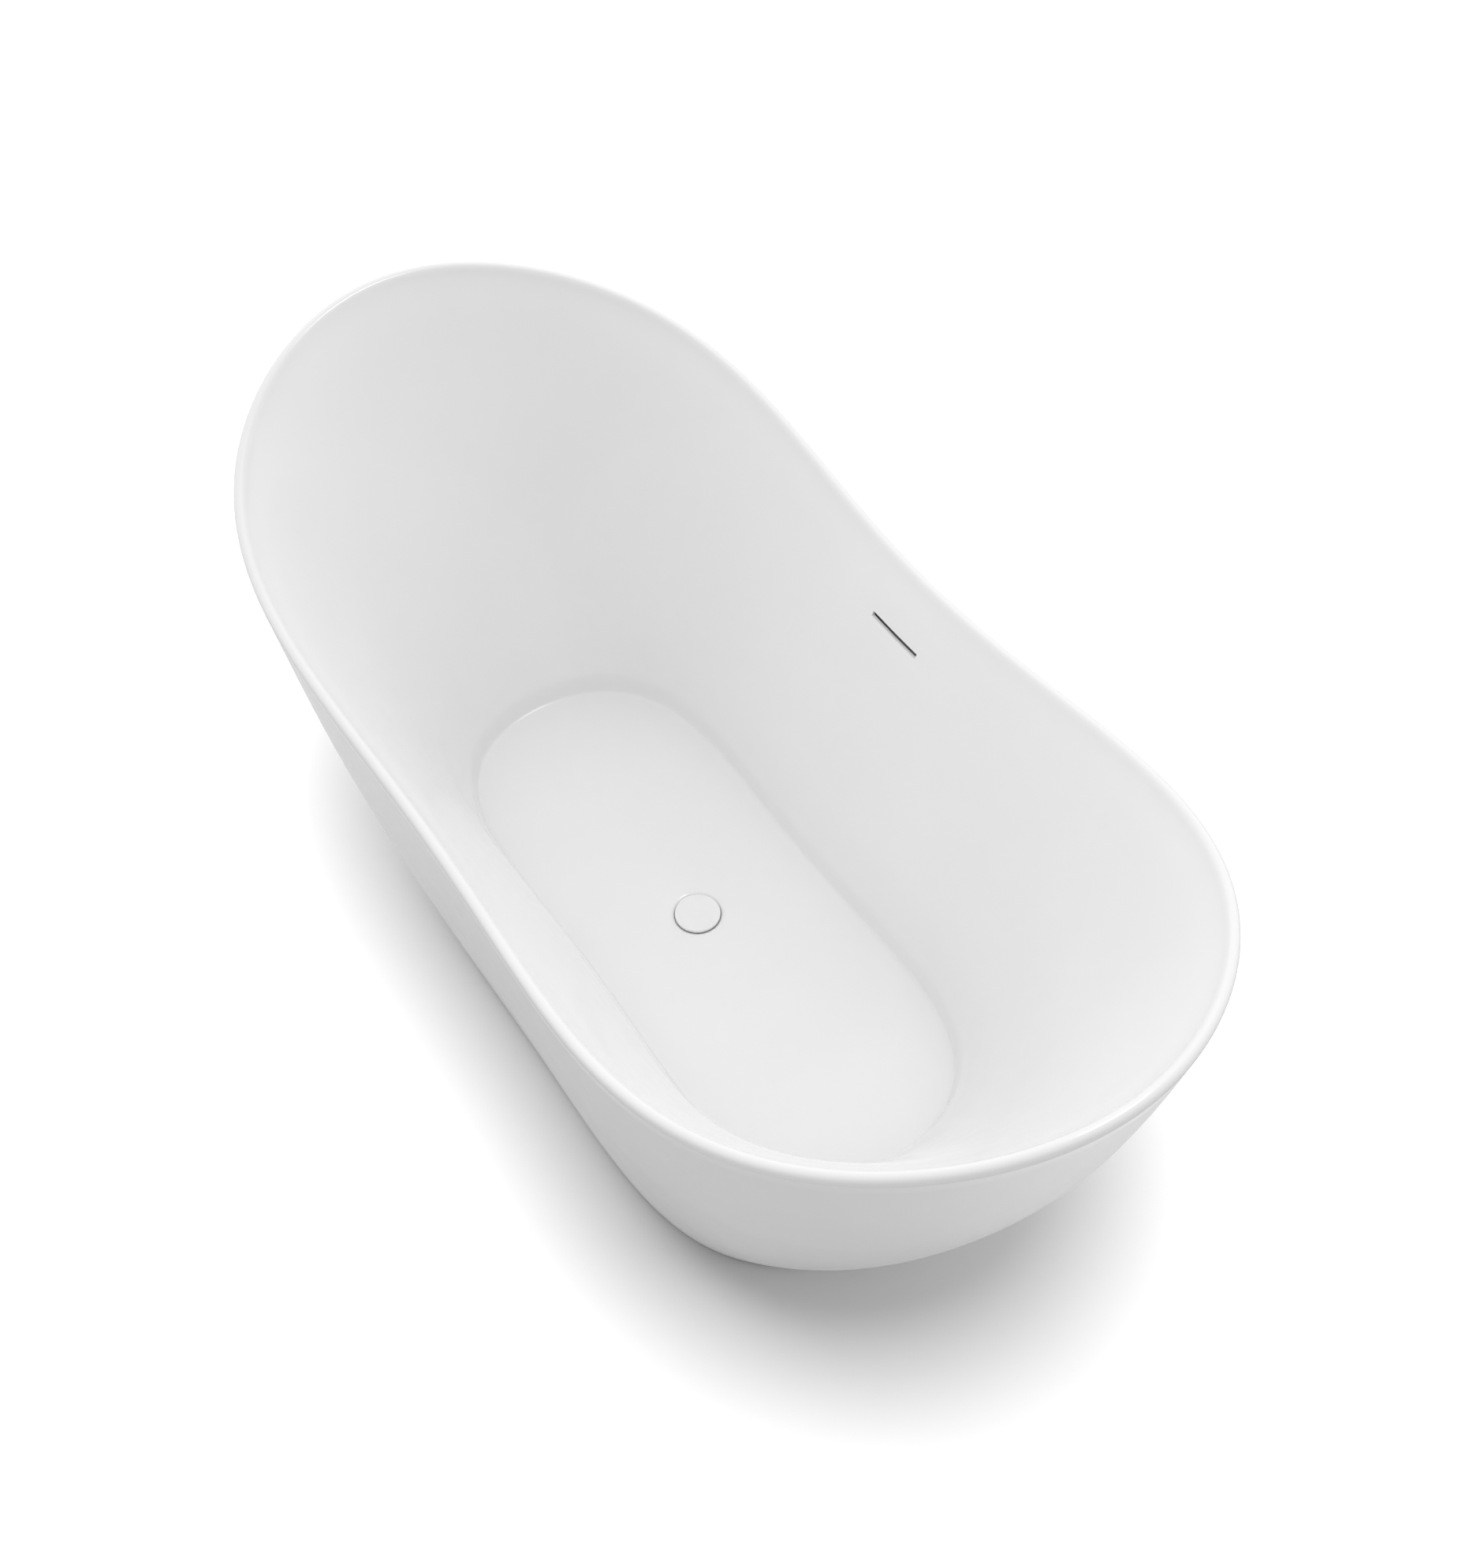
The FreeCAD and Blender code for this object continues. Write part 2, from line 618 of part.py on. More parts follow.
cup = cylinder("cup_outside", "cup_radius", "cup_bottom", cup_top, "waste_x")
cup_bore = cylinder("cup_inside", "cup_radius - cup_wall", "cup_bottom + cup_wall", "neck_bottom",
                    "waste_x")
outlet = lying_cylinder("outlet", "outlet_radius", "waste_x + cup_radius - 8",
                        "waste_x + outlet_reach", "x", 0, 0, "outlet_height")
outlet_bore = lying_cylinder("outlet_bore", "outlet_radius - cup_wall", "waste_x + cup_radius - 20",
                             "waste_x + outlet_reach + 1", "x", 0, 0, "outlet_height")
node(cut("cup", fuse("cup_blank", cup, outlet), cup_bore, outlet_bore), "trap_cup")
insert_low = "cup_bottom + cup_wall + 0.2"
insert = cylinder("insert_outside", 36, insert_low, 44, "waste_x")
insert_bore = cylinder("insert_inside", 34, f"{insert_low} + 2", 45, "waste_x")
node(cut("insert", insert, insert_bore), "trap_insert")
nut_top = "neck_bottom + neck_flange + 2.2"
node(turned("union_nut", (
    ("cup_radius + 0.3", 55), ("cup_radius + 6", 55), ("cup_radius + 6", f"{nut_top} - 1.5"),
    ("cup_radius + 4.5", nut_top), ("cup_radius - 8", nut_top),
    ("cup_radius - 8", f"{nut_top} - 2"), ("cup_radius + 0.3", f"{nut_top} - 2")), "waste_x"),
    "trap_union_nut")

# ---- overflow ------------------------------------------------------------------------------------

housing_front = 9.7
housing_top = 14
housing_bottom = -60
half_housing = "housing_width / 2"
hose_x = "(waste_x - overflow_x)"
housing_block = wall_box("housing_block", ("-" + half_housing, half_housing),
                         (housing_front, f"{housing_front} + housing_depth"),
                         (housing_bottom, housing_top))
housing_hollow = wall_box("housing_hollow",
                          (f"housing_wall - {half_housing}", f"{half_housing} - housing_wall"),
                          (housing_front - 1, f"{housing_front} + housing_depth - housing_wall"),
                          (f"{housing_bottom} + housing_wall", f"{housing_top} - housing_wall"))


def wall_spigot(name, radius, low, high):
    """A round bar along the wall, on the axis of the hose."""
    item = doc.addObject("Part::Cylinder", name)
    bind(item, Radius=radius, Height=high - low)
    item.Placement.Base = Vector(value_of(hose_x), size("hose_axis_depth"), low)
    return on_wall(item)


spigot_low = housing_bottom - 16
spigot = wall_spigot("housing_spigot", "hose_bore - 0.1", spigot_low, housing_bottom + 1)
spigot_bore = wall_spigot("housing_spigot_bore", 6.5, spigot_low - 1, housing_bottom + 6)
node(cut("housing", fuse("housing_blank", housing_block, spigot), housing_hollow, spigot_bore),
     "overflow_housing")
gasket_pad = wall_box("overflow_gasket_pad", (-60, 60), (6.4, 9.6), (-24, 13))
gasket_window = wall_box("overflow_gasket_window", (-54, 54), (5, 11), (-18, 8))
node(cut("overflow_gasket_frame", gasket_pad, gasket_window), "overflow_gasket")

# The hose hangs down the back of the basin and turns under it to the trap's inlet.
hose_start = overflow_place.multVec(Vector(value_of(hose_x), size("hose_axis_depth"), -62))
hose_direction = overflow_place.Rotation.multVec(Vector(0, 0, -1))
inlet_z = size("inlet_height")
hose_corners = [
    hose_start,
    hose_start + hose_direction * 32,
    Vector(waste_x, 222, inlet_z),
    Vector(waste_x, size("neck_radius") + 32, inlet_z),
]
hose_radii = (150, 92)


def rounded_path(corners, radii):
    """Straight runs through the corners, joined by tangent arcs."""
    edges = []
    start = corners[0]
    for before, corner, after, radius in zip(corners, corners[1:], corners[2:], radii):
        back = (before - corner).normalize()
        ahead = (after - corner).normalize()
        half_turn = (math.pi - back.getAngle(ahead)) / 2
        reach = radius * math.tan(half_turn)
        bisector = (back + ahead).normalize()
        middle = corner + bisector * (radius / math.cos(half_turn) - radius)
        first = corner + back * reach
        last = corner + ahead * reach
        edges.append(Part.LineSegment(start, first).toShape())
        edges.append(Part.Arc(first, middle, last).toShape())
        start = last
    edges.append(Part.LineSegment(start, corners[-1]).toShape())
    return Part.Wire(edges)


hose_path = rounded_path(hose_corners, hose_radii)
spine = shell_feature("hose_spine", hose_path)


def hose_bar(name, radius):
    """A round bar along the hose's path."""
    circle = doc.addObject("Part::Circle", name + "_section")
    bind(circle, Radius=radius)
    circle.Placement = FreeCAD.Placement(hose_start, FreeCAD.Rotation(Vector(0, 0, 1), hose_direction))
    bar = doc.addObject("Part::Sweep", name)
    bar.Sections = [circle]
    bar.Spine = (spine, [f"Edge{index + 1}" for index in range(len(hose_path.Edges))])
    bar.Solid = True
    bar.Frenet = False
    return bar


node(cut("hose", hose_bar("hose_outside", "hose_radius"), hose_bar("hose_inside", "hose_bore")),
     "overflow_hose")
clip_top_outside = wall_spigot("clip_top_outside", "hose_radius + 2", -73, -65)
clip_top_inside = wall_spigot("clip_top_inside", "hose_radius + 0.1", -74, -64)
node(cut("clip_top", clip_top_outside, clip_top_inside), "hose_clip_top")
clip_span = ("neck_radius + 36", "neck_radius + 44")
clip_outside = lying_cylinder("clip_low_outside", "hose_radius + 2", *clip_span, "y", "waste_x", 0,
                              "inlet_height")
clip_inside = lying_cylinder("clip_low_inside", "hose_radius + 0.1", "neck_radius + 35",
                             "neck_radius + 45", "y", "waste_x", 0, "inlet_height")
node(cut("clip_bottom", clip_outside, clip_inside), "hose_clip_bottom")

# ---- check and write -----------------------------------------------------------------------------

doc.recompute()
for item in doc.Objects:
    if "Invalid" in item.State or "Error" in item.State:
        raise RuntimeError(f"{item.Name} failed: {item.State}")
for item in nodes:
    if item.Shape.isNull() or not item.Shape.isValid():
        raise RuntimeError(f"{item.Label} has no valid shape")

length_of_hose = hose_path.Length
wall_area = math.pi * (size("hose_radius") ** 2 - size("hose_bore") ** 2)
hose = next(item for item in nodes if item.Label == "overflow_hose")
print(f"overflow hose: {length_of_hose:.1f} mm long, bends {hose_radii} mm,"
      f" volume {hose.Shape.Volume:.0f} against {wall_area * length_of_hose:.0f}")
print(f"overflow slot at y {overflow_y:.1f}, wall leans {overflow_lean:.1f} degrees")

os.makedirs("parts", exist_ok=True)
for item in nodes:
    item.Shape.exportStep(f"parts/{item.Label}.step")
print(f"{len(nodes)} sub-parts written")
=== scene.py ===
import json
import math

import bmesh
import bpy
from mathutils import Matrix, Quaternion, Vector


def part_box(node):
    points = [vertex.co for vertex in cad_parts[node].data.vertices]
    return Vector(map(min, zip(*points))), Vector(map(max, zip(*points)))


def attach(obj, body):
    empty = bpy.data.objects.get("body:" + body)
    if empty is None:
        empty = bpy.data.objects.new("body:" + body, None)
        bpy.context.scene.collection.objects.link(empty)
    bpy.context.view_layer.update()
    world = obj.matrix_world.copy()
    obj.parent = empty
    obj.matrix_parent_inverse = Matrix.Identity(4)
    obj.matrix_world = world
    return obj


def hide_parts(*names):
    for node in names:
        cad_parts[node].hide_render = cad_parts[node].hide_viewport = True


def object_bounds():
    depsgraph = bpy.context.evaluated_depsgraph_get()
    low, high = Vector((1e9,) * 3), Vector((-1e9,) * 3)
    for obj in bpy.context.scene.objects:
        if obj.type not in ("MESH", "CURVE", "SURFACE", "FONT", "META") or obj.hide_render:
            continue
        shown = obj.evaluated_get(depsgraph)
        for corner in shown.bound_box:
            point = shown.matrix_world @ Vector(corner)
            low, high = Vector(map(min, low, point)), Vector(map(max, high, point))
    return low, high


# A freestanding bathtub: a white acrylic basin with a rolled saddle rim, a skirt bonded under the
# rim, and under it the steel frame, levelling feet, trap and overflow. The scene is in metres;
# sections and curves are drawn in millimetres and scaled by MM.

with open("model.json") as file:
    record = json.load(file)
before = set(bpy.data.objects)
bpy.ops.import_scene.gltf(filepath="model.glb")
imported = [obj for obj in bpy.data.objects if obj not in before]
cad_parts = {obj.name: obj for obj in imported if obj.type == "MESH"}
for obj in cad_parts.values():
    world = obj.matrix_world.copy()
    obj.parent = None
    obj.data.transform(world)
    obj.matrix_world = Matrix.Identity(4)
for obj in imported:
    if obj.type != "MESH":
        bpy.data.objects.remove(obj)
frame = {"nodes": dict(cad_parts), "record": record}
cad_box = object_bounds()
nodes = frame["nodes"]
MM = 0.001

# ---- finishes ------------------------------------------------------------------------------------


def colour(code):
    """An sRGB hex colour as linear RGBA."""
    parts = [int(code[i:i + 2], 16) / 255 for i in (1, 3, 5)]
    return [c / 12.92 if c <= 0.04045 else ((c + 0.055) / 1.055) ** 2.4 for c in parts] + [1.0]


def add(tree, kind, settings=None, links=None):
    """Add a shader node, set its values and link its inputs."""
    item = tree.nodes.new(kind)
    for name, value in (settings or {}).items():
        if hasattr(item, name):
            setattr(item, name, value)
        else:
            item.inputs[name].default_value = value
    for name, source in (links or {}).items():
        tree.links.new(source, item.inputs[name])
    return item


def start_finish(name, **settings):
    """A new material, its node tree, its main shader and the object coordinates."""
    finish = bpy.data.materials.new(name)
    finish.use_nodes = True
    tree = finish.node_tree
    shader = tree.nodes["Principled BSDF"]
    for socket, value in settings.items():
        shader.inputs[socket.replace("_", " ")].default_value = value
    place = tree.nodes.new("ShaderNodeTexCoord").outputs["Object"]
    return finish, tree, shader, place


def mottle(tree, shader, place, scale, low, high, socket="Base Color"):
    """Let a noise of the given scale (per metre) wander between two colours or two values."""
    noise = add(tree, "ShaderNodeTexNoise", {"Scale": scale, "Detail": 3.0}, {"Vector": place})
    if isinstance(low, str):
        ramp = add(tree, "ShaderNodeValToRGB", {}, {"Fac": noise.outputs["Fac"]})
        ramp.color_ramp.elements[0].position = 0.3
        ramp.color_ramp.elements[1].position = 0.7
        ramp.color_ramp.elements[0].color = colour(low)
        ramp.color_ramp.elements[1].color = colour(high)
        tree.links.new(ramp.outputs["Color"], shader.inputs[socket])
        return noise
    spread = add(tree, "ShaderNodeMapRange", {"From Min": 0.3, "From Max": 0.7, "To Min": low,
                                              "To Max": high}, {"Value": noise.outputs["Fac"]})
    tree.links.new(spread.outputs["Result"], shader.inputs[socket])
    return noise


def relief(tree, shader, height, depth):
    """Raise the surface by a height pattern, depth in metres."""
    bump = add(tree, "ShaderNodeBump", {"Distance": depth}, {"Height": height})
    tree.links.new(bump.outputs["Normal"], shader.inputs["Normal"])


def make_acrylic():
    """Cast sanitary acrylic, vacuum-formed: deep even gloss, faint roll of the sheet."""
    finish, tree, shader, place = start_finish("white_cast_acrylic", Roughness=0.16, IOR=1.49)
    mottle(tree, shader, place, 5, "#F4F4F4", "#F6F6F6")
    mottle(tree, shader, place, 30, 0.155, 0.17, "Roughness")
    peel = add(tree, "ShaderNodeTexNoise", {"Scale": 45.0, "Detail": 1.0}, {"Vector": place})
    relief(tree, shader, peel.outputs["Fac"], 0.000004)
    return finish


def make_enamel():
    """Stove enamel on the waste cap: the tone of the acrylic round it, with a harder gloss."""
    finish, tree, shader, place = start_finish(
        "white_stove_enamel", Base_Color=colour("#F8F8F8"), Roughness=0.1, IOR=1.52)
    mottle(tree, shader, place, 40, "#F4F4F4", "#F6F6F6")
    peel = add(tree, "ShaderNodeTexNoise", {"Scale": 400.0, "Detail": 2.0}, {"Vector": place})
    relief(tree, shader, peel.outputs["Fac"], 0.000003)
    return finish


def make_laminate():
    """Chopped glass strands rolled into resin: straw-white, with the strands showing."""
    finish, tree, shader, place = start_finish("glass_fibre_laminate", Roughness=0.5, IOR=1.52)
    mottle(tree, shader, place, 22, "#CFC9AE", "#E2DEC8")
    strands = add(tree, "ShaderNodeTexVoronoi", {"feature": "DISTANCE_TO_EDGE", "Scale": 110.0},
                  {"Vector": place})
    relief(tree, shader, strands.outputs["Distance"], 0.0008)
    return finish


def make_adhesive():
    """Grey structural adhesive, gunned on and left as squeezed: dull, lumpy skin."""
    finish, tree, shader, place = start_finish("grey_adhesive", Roughness=0.6)
    mottle(tree, shader, place, 90, "#85868A", "#9A9B9D")
    lumps = add(tree, "ShaderNodeTexNoise", {"Scale": 160.0, "Detail": 2.0}, {"Vector": place})
    relief(tree, shader, lumps.outputs["Fac"], 0.001)
    return finish


def make_board():
    """Moisture-resistant chipboard: chips of several tones with the green dye of the grade."""
    finish, tree, shader, place = start_finish("green_moisture_board", Roughness=0.75)
    chips = add(tree, "ShaderNodeTexVoronoi", {"Scale": 240.0}, {"Vector": place})
    ramp = add(tree, "ShaderNodeValToRGB", {}, {"Fac": chips.outputs["Color"]})
    ramp.color_ramp.elements[0].color = colour("#7E9073")
    ramp.color_ramp.elements[1].color = colour("#B9BF98")
    tree.links.new(ramp.outputs["Color"], shader.inputs["Base Color"])
    relief(tree, shader, chips.outputs["Distance"], 0.0004)
    return finish


def make_powder_coat():
    """Pale grey polyester powder coat: satin, with the fine orange peel of baked powder."""
    finish, tree, shader, place = start_finish("grey_powder_coat", Roughness=0.42)
    mottle(tree, shader, place, 12, "#A9ADB0", "#B5B9BB")
    peel = add(tree, "ShaderNodeTexNoise", {"Scale": 700.0, "Detail": 2.0}, {"Vector": place})
    relief(tree, shader, peel.outputs["Fac"], 0.00025)
    return finish


def make_zinc():
    """Bright zinc plate over turned steel: cool metal with a cloudy passivated film."""
    finish, tree, shader, place = start_finish("zinc_plated_steel", Metallic=1.0, Roughness=0.3)
    mottle(tree, shader, place, 120, "#B9BDC2", "#D3D5D2")
    mottle(tree, shader, place, 300, 0.24, 0.42, "Roughness")
    return finish


def make_rubber(name, dark, light, depth):
    """Moulded rubber: black-grey, nearly matt, with the fine grain of the mould."""
    finish, tree, shader, place = start_finish(name, Roughness=0.7)
    mottle(tree, shader, place, 150, dark, light)
    grain = add(tree, "ShaderNodeTexNoise", {"Scale": 1200.0, "Detail": 2.0}, {"Vector": place})
    relief(tree, shader, grain.outputs["Fac"], depth)
    return finish


def make_plastic(name, dark, light, roughness):
    """Injection-moulded polypropylene: soft sheen, slight flow marks."""
    finish, tree, shader, place = start_finish(name, Roughness=roughness, IOR=1.49)
    mottle(tree, shader, place, 35, dark, light)
    grain = add(tree, "ShaderNodeTexNoise", {"Scale": 500.0, "Detail": 2.0}, {"Vector": place})
    relief(tree, shader, grain.outputs["Fac"], 0.00012)
    return finish


def make_metal(name, dark, light, smooth, rough):
    """Turned and plated or bare brass: bright metal with faint handling marks."""
    finish, tree, shader, place = start_finish(name, Metallic=1.0, Roughness=smooth)
    mottle(tree, shader, place, 90, dark, light)
    mottle(tree, shader, place, 260, smooth, rough, "Roughness")
    return finish


finishes = {
    "white_acrylic": make_acrylic(),
    "white_enamel": make_enamel(),
    "glass_fibre": make_laminate(),
    "adhesive": make_adhesive(),
    "moisture_board": make_board(),
    "powder_coated_steel": make_powder_coat(),
    "zinc_steel": make_zinc(),
    "foot_rubber": make_rubber("moulded_foot_rubber", "#2B2C2E", "#36373A", 0.0003),
    "sealing_rubber": make_rubber("sealing_rubber", "#1F2022", "#2A2B2D", 0.0001),
    "hose_plastic": make_plastic("grey_hose_polypropylene", "#B5B8BA", "#C4C6C7", 0.4),
    "trap_plastic": make_plastic("white_trap_polypropylene", "#E6E7E5", "#EFEFED", 0.35),
    "chromed_brass": make_metal("chrome_plated_brass", "#D8DADC", "#E6E7E8", 0.06, 0.14),
    "plain_brass": make_metal("bare_brass", "#B8974E", "#D2B36B", 0.22, 0.4),
}

node_slots = {part["node"]: part["material_slot"] for part in frame["record"]["subparts"]}
for name, item in nodes.items():
    item.data.materials.clear()
    item.data.materials.append(finishes[node_slots[name]])

# ---- the two shells ------------------------------------------------------------------------------

# An oval ring: half length, half width, its third and fifth harmonics, height, the rise of its ends
# and the place of its centre along the tub, all in millimetres.
RIM = (850, 392.6, 45.3, -12.1, 597, 154, 0)
SOLE = (503, 198, 36, 0, 164, 0, 0)
WALL_TOP = (828, 370.6, 45.3, -12.1, 588, 154, 0)
DISH = (340, 150, 20, 0, 127, 0, 0)
SKIRT_FOOT = (536, 294, 41.3, 0, 2.5, 0, 0)
SKIRT_TOP = (848.5, 391.1, 45.3, -12.1, 579.5, 154, 0)
WASTE_X = -14
SHELL = 5
LIP = ((-21, -17), (-13.5, -1), (-6, 0.9), (0, -2.5), (0, -11), (-1, -16))
SLOT_X = (-55.5, 45.5)
SLOT_Z = (516.5, 523.5)
COLUMNS = 288
WALL_SHARES = (0.04, 0.2, 0.45, 0.7, 0.9)
WALL_HOLLOW = (-0.10, -0.38)         # along and across the tub
SKIRT_BULGE = (0.68, 0.44)
SLOT_HEIGHT = sum(SLOT_Z) / 2


def mixed(low, high, share, along=0.0, across=0.0):
    """The ring between two others. A bulge bends the wall outward, a negative one hollows it."""
    crown = share * (1 - share)
    shares = [share + along * crown] + [share + across * crown] * 3 + [share] * 3
    return [a + (b - a) * s for a, b, s in zip(low, high, shares)]


def on_ring(ring, turn, outward=0.0, upward=0.0):
    """The point of a ring at an angle, moved outward in plan and upward."""
    length, width, third, fifth, height, rise, centre = ring
    first = width + third - fifth
    x = length * math.cos(turn)
    y = first * math.sin(turn) + third * math.sin(3 * turn) + fifth * math.sin(5 * turn)
    dx = -length * math.sin(turn)
    dy = first * math.cos(turn) + 3 * third * math.cos(3 * turn) + 5 * fifth * math.cos(5 * turn)
    speed = math.hypot(dx, dy)
    z = height + rise * math.cos(turn) ** 2
    return Vector((centre + x + outward * dy / speed, y - outward * dx / speed, z + upward))


def column_angles():
    """Angles of the columns of faces, with two of them moved to the ends of the overflow slot."""
    angles = [2 * math.pi * i / COLUMNS for i in range(COLUMNS)]
    share = (SLOT_HEIGHT - SOLE[4]) / (WALL_TOP[4] - SOLE[4])
    half = mixed(SOLE, WALL_TOP, share, *WALL_HOLLOW)[0]
    for x in SLOT_X:
        end = math.acos(x / half)
        nearest = min(range(COLUMNS), key=lambda i: abs(angles[i] - end))
        angles[nearest] = end
    return angles


ANGLES = column_angles()


def sheet_point(controls, turn, v):
    """A point of the smooth sheet whose rows follow the control rings, v counted in spans."""
    spans = len(controls) - 2
    span = min(int(v), spans - 1)
    t = v - span
    left = 1.0 if span == 0 else 0.5
    right = 1.0 if span == spans - 1 else 0.5
    weights = (left * (1 - t) ** 2, 0.0, right * t ** 2)
    weights = (weights[0], 1 - weights[0] - weights[2], weights[2])
    total = Vector((0, 0, 0))
    for weight, control in zip(weights, controls[span:span + 3]):
        total += weight * on_ring(control[0], turn, control[1], control[2])
    return total


def row_at(controls, height, low, high):
    """The v at which the far side of the sheet reaches a height."""
    for _ in range(40):
        middle = (low + high) / 2
        if sheet_point(controls, math.pi / 2, middle).z < height:
            low = middle
        else:
            high = middle
    return (low + high) / 2


def clear_selection():
    """Leave edit mode and deselect every object."""
    if bpy.context.object and bpy.context.object.mode != "OBJECT":
        bpy.ops.object.mode_set(mode="OBJECT")
    bpy.ops.object.select_all(action="DESELECT")


def laid_rings(name, rows):
    """Start from a circle, extrude its edge row by row and lay each new row on its points."""
    clear_selection()
    bpy.ops.mesh.primitive_circle_add(vertices=len(rows[0]), radius=1)
    shell = bpy.context.object
    shell.name = name
    bpy.ops.object.mode_set(mode="EDIT")
    bpy.ops.mesh.select_mode(type="VERT")
    bpy.ops.mesh.select_all(action="SELECT")
    mesh = bmesh.from_edit_mesh(shell.data)
    mesh.verts.ensure_lookup_table()
    ring = list(range(len(rows[0])))
    for index, row in enumerate(rows):
        if index:
            bpy.ops.mesh.extrude_region_move()
            mesh = bmesh.from_edit_mesh(shell.data)
            mesh.verts.ensure_lookup_table()
            mesh.verts.index_update()
            ring = [next(edge.other_vert(mesh.verts[i]).index for edge in mesh.verts[i].link_edges
                         if edge.other_vert(mesh.verts[i]).select) for i in ring]
        for i, point in zip(ring, row):
            mesh.verts[i].co = point * MM
    bmesh.update_edit_mesh(shell.data)
    return shell


def select_open_edges():
    """Select the edges that only one face uses."""
    bpy.ops.mesh.select_all(action="DESELECT")
    bpy.ops.mesh.select_mode(type="EDGE")
    bpy.ops.mesh.select_non_manifold(extend=False, use_wire=False, use_boundary=True,
                                     use_multi_face=False, use_non_contiguous=False,
                                     use_verts=False)


def finish_piece(piece, slot, body, *replaced, angle=35):
    """Turn faces outward, smooth the shading, and give the piece its finish and its place."""
    if bpy.context.object is not piece or piece.mode != "EDIT":
        clear_selection()
        bpy.context.view_layer.objects.active = piece
        piece.select_set(True)
        bpy.ops.object.mode_set(mode="EDIT")
    bpy.ops.mesh.select_all(action="SELECT")
    bpy.ops.mesh.normals_make_consistent(inside=False)
    bpy.ops.object.mode_set(mode="OBJECT")
    bpy.ops.object.shade_smooth_by_angle(angle=math.radians(angle))
    piece.data.materials.clear()
    piece.data.materials.append(finishes[slot])
    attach(piece, body)
    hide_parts(*replaced)
    return piece


def dimple(point):
    """The wall dips a little round the overflow slot."""
    along = (point.x - sum(SLOT_X) / 2) / 72
    up = (point.z - SLOT_HEIGHT) / 17
    point.y += 1.3 * math.exp(-along ** 4 - up ** 2) if point.y > 0 else 0
    return point


def front_rows():
    """Rows of the basin's inner face: from the waste hole over the floor, the wall and the lip."""
    controls = [((radius, radius, 0, 0, height, 0, WASTE_X), 0, 0)
                for radius, height in ((26, 104.5), (33.5, 104.5), (35.8, 109.5), (44, 112.5))]
    controls += [(DISH, 0, 0), (SOLE, -28, -35.8), (SOLE, -15, -35), (SOLE, -10.5, -31),
                 (SOLE, -5, -7), (SOLE, -2, 0.5)]
    controls += [(mixed(SOLE, WALL_TOP, share, *WALL_HOLLOW), 0, 0) for share in WALL_SHARES]
    controls += [(RIM, outward, upward) for outward, upward in LIP]
    steps = [6, 6, 7, 9, 6, 6, 5, 6, 6, 6, 8, 8, 8, 7, 6, 6, 6, 6, 6]
    places = [span + i / count for span, count in enumerate(steps) for i in range(count)]
    places.append(len(steps))
    low, high = [row_at(controls, z, 9, 16) for z in SLOT_Z]
    around = [row_at(controls, z, 9, 16)
              for z in (489, 497, 504, 509, 513, 527, 531, 536, 543, 551)]
    places = [v for v in places if not around[0] - 0.02 < v < around[-1] + 0.02]
    places = sorted(places + [low, high] + around)
    rows = [[dimple(sheet_point(controls, turn, v)) for turn in ANGLES] for v in places]
    return rows, places.index(low)


def back_rows():
    """Rows of the basin's outer face from under the lip down to the waste hole."""
    controls = [((radius, radius, 0, 0, height - SHELL, 0, WASTE_X), 0, 0)
                for radius, height in ((26, 104.5), (39, 104.5), (44.5, 111.5), (50, 112.5))]
    controls += [(DISH, 0, -SHELL), (SOLE, -28, -35.8 - SHELL),
                 (SOLE, -15 + 0.4 * SHELL, -35 - SHELL),
                 (SOLE, -10.5 + 0.75 * SHELL, -31 - 0.75 * SHELL),
                 (SOLE, -5 + SHELL, -7 - 0.3 * SHELL), (SOLE, -2 + 1.1 * SHELL, 0.5)]
    controls += [(mixed(SOLE, WALL_TOP, share, *WALL_HOLLOW), 1.1 * SHELL, 0)
                 for share in WALL_SHARES]
    controls.append((RIM, -20, -16))
    spans = len(controls) - 2
    places = [i / 4 for i in range(4 * spans + 1)]
    low, high = [row_at(controls, z, 8, spans) for z in SLOT_Z]
    places = [v for v in places if abs(v - low) > 0.1 and abs(v - high) > 0.1]
    places = sorted(places + [low, high], reverse=True)
    rows = [[sheet_point(controls, turn, v) for turn in ANGLES] for v in places]
    return rows, places.index(high)


def model_basin():
    """The inner shell: its inner and outer faces as one run of rings, then the overflow slot."""
    front, front_slot = front_rows()
    back, back_slot = back_rows()
    basin = laid_rings("basin_shell", front + back)
    select_open_edges()
    bpy.ops.mesh.bridge_edge_loops()
    # the overflow slot: one strip of faces leaves each face of the wall and the two gaps are joined
    mesh = bmesh.from_edit_mesh(basin.data)
    strips = ((front[front_slot], front[front_slot + 1]),
              (back[back_slot + 1], back[back_slot]))
    low_x, high_x = [x * MM for x in SLOT_X]
    bpy.ops.mesh.select_all(action="DESELECT")
    bpy.ops.mesh.select_mode(type="FACE")
    for lower, upper in strips:
        middle = (lower[len(lower) // 4] + upper[len(upper) // 4]) / 2 * MM
        for face in mesh.faces:
            centre = face.calc_center_median()
            if (low_x < centre.x < high_x and abs(centre.z - middle.z) < 0.0025
                    and abs(centre.y - middle.y) < 0.0025):
                face.select_set(True)
    bmesh.update_edit_mesh(basin.data)
    bpy.ops.mesh.delete(type="FACE")
    select_open_edges()
    bpy.ops.mesh.bridge_edge_loops()
    return finish_piece(basin, "white_acrylic", "tub", "basin", angle=50)


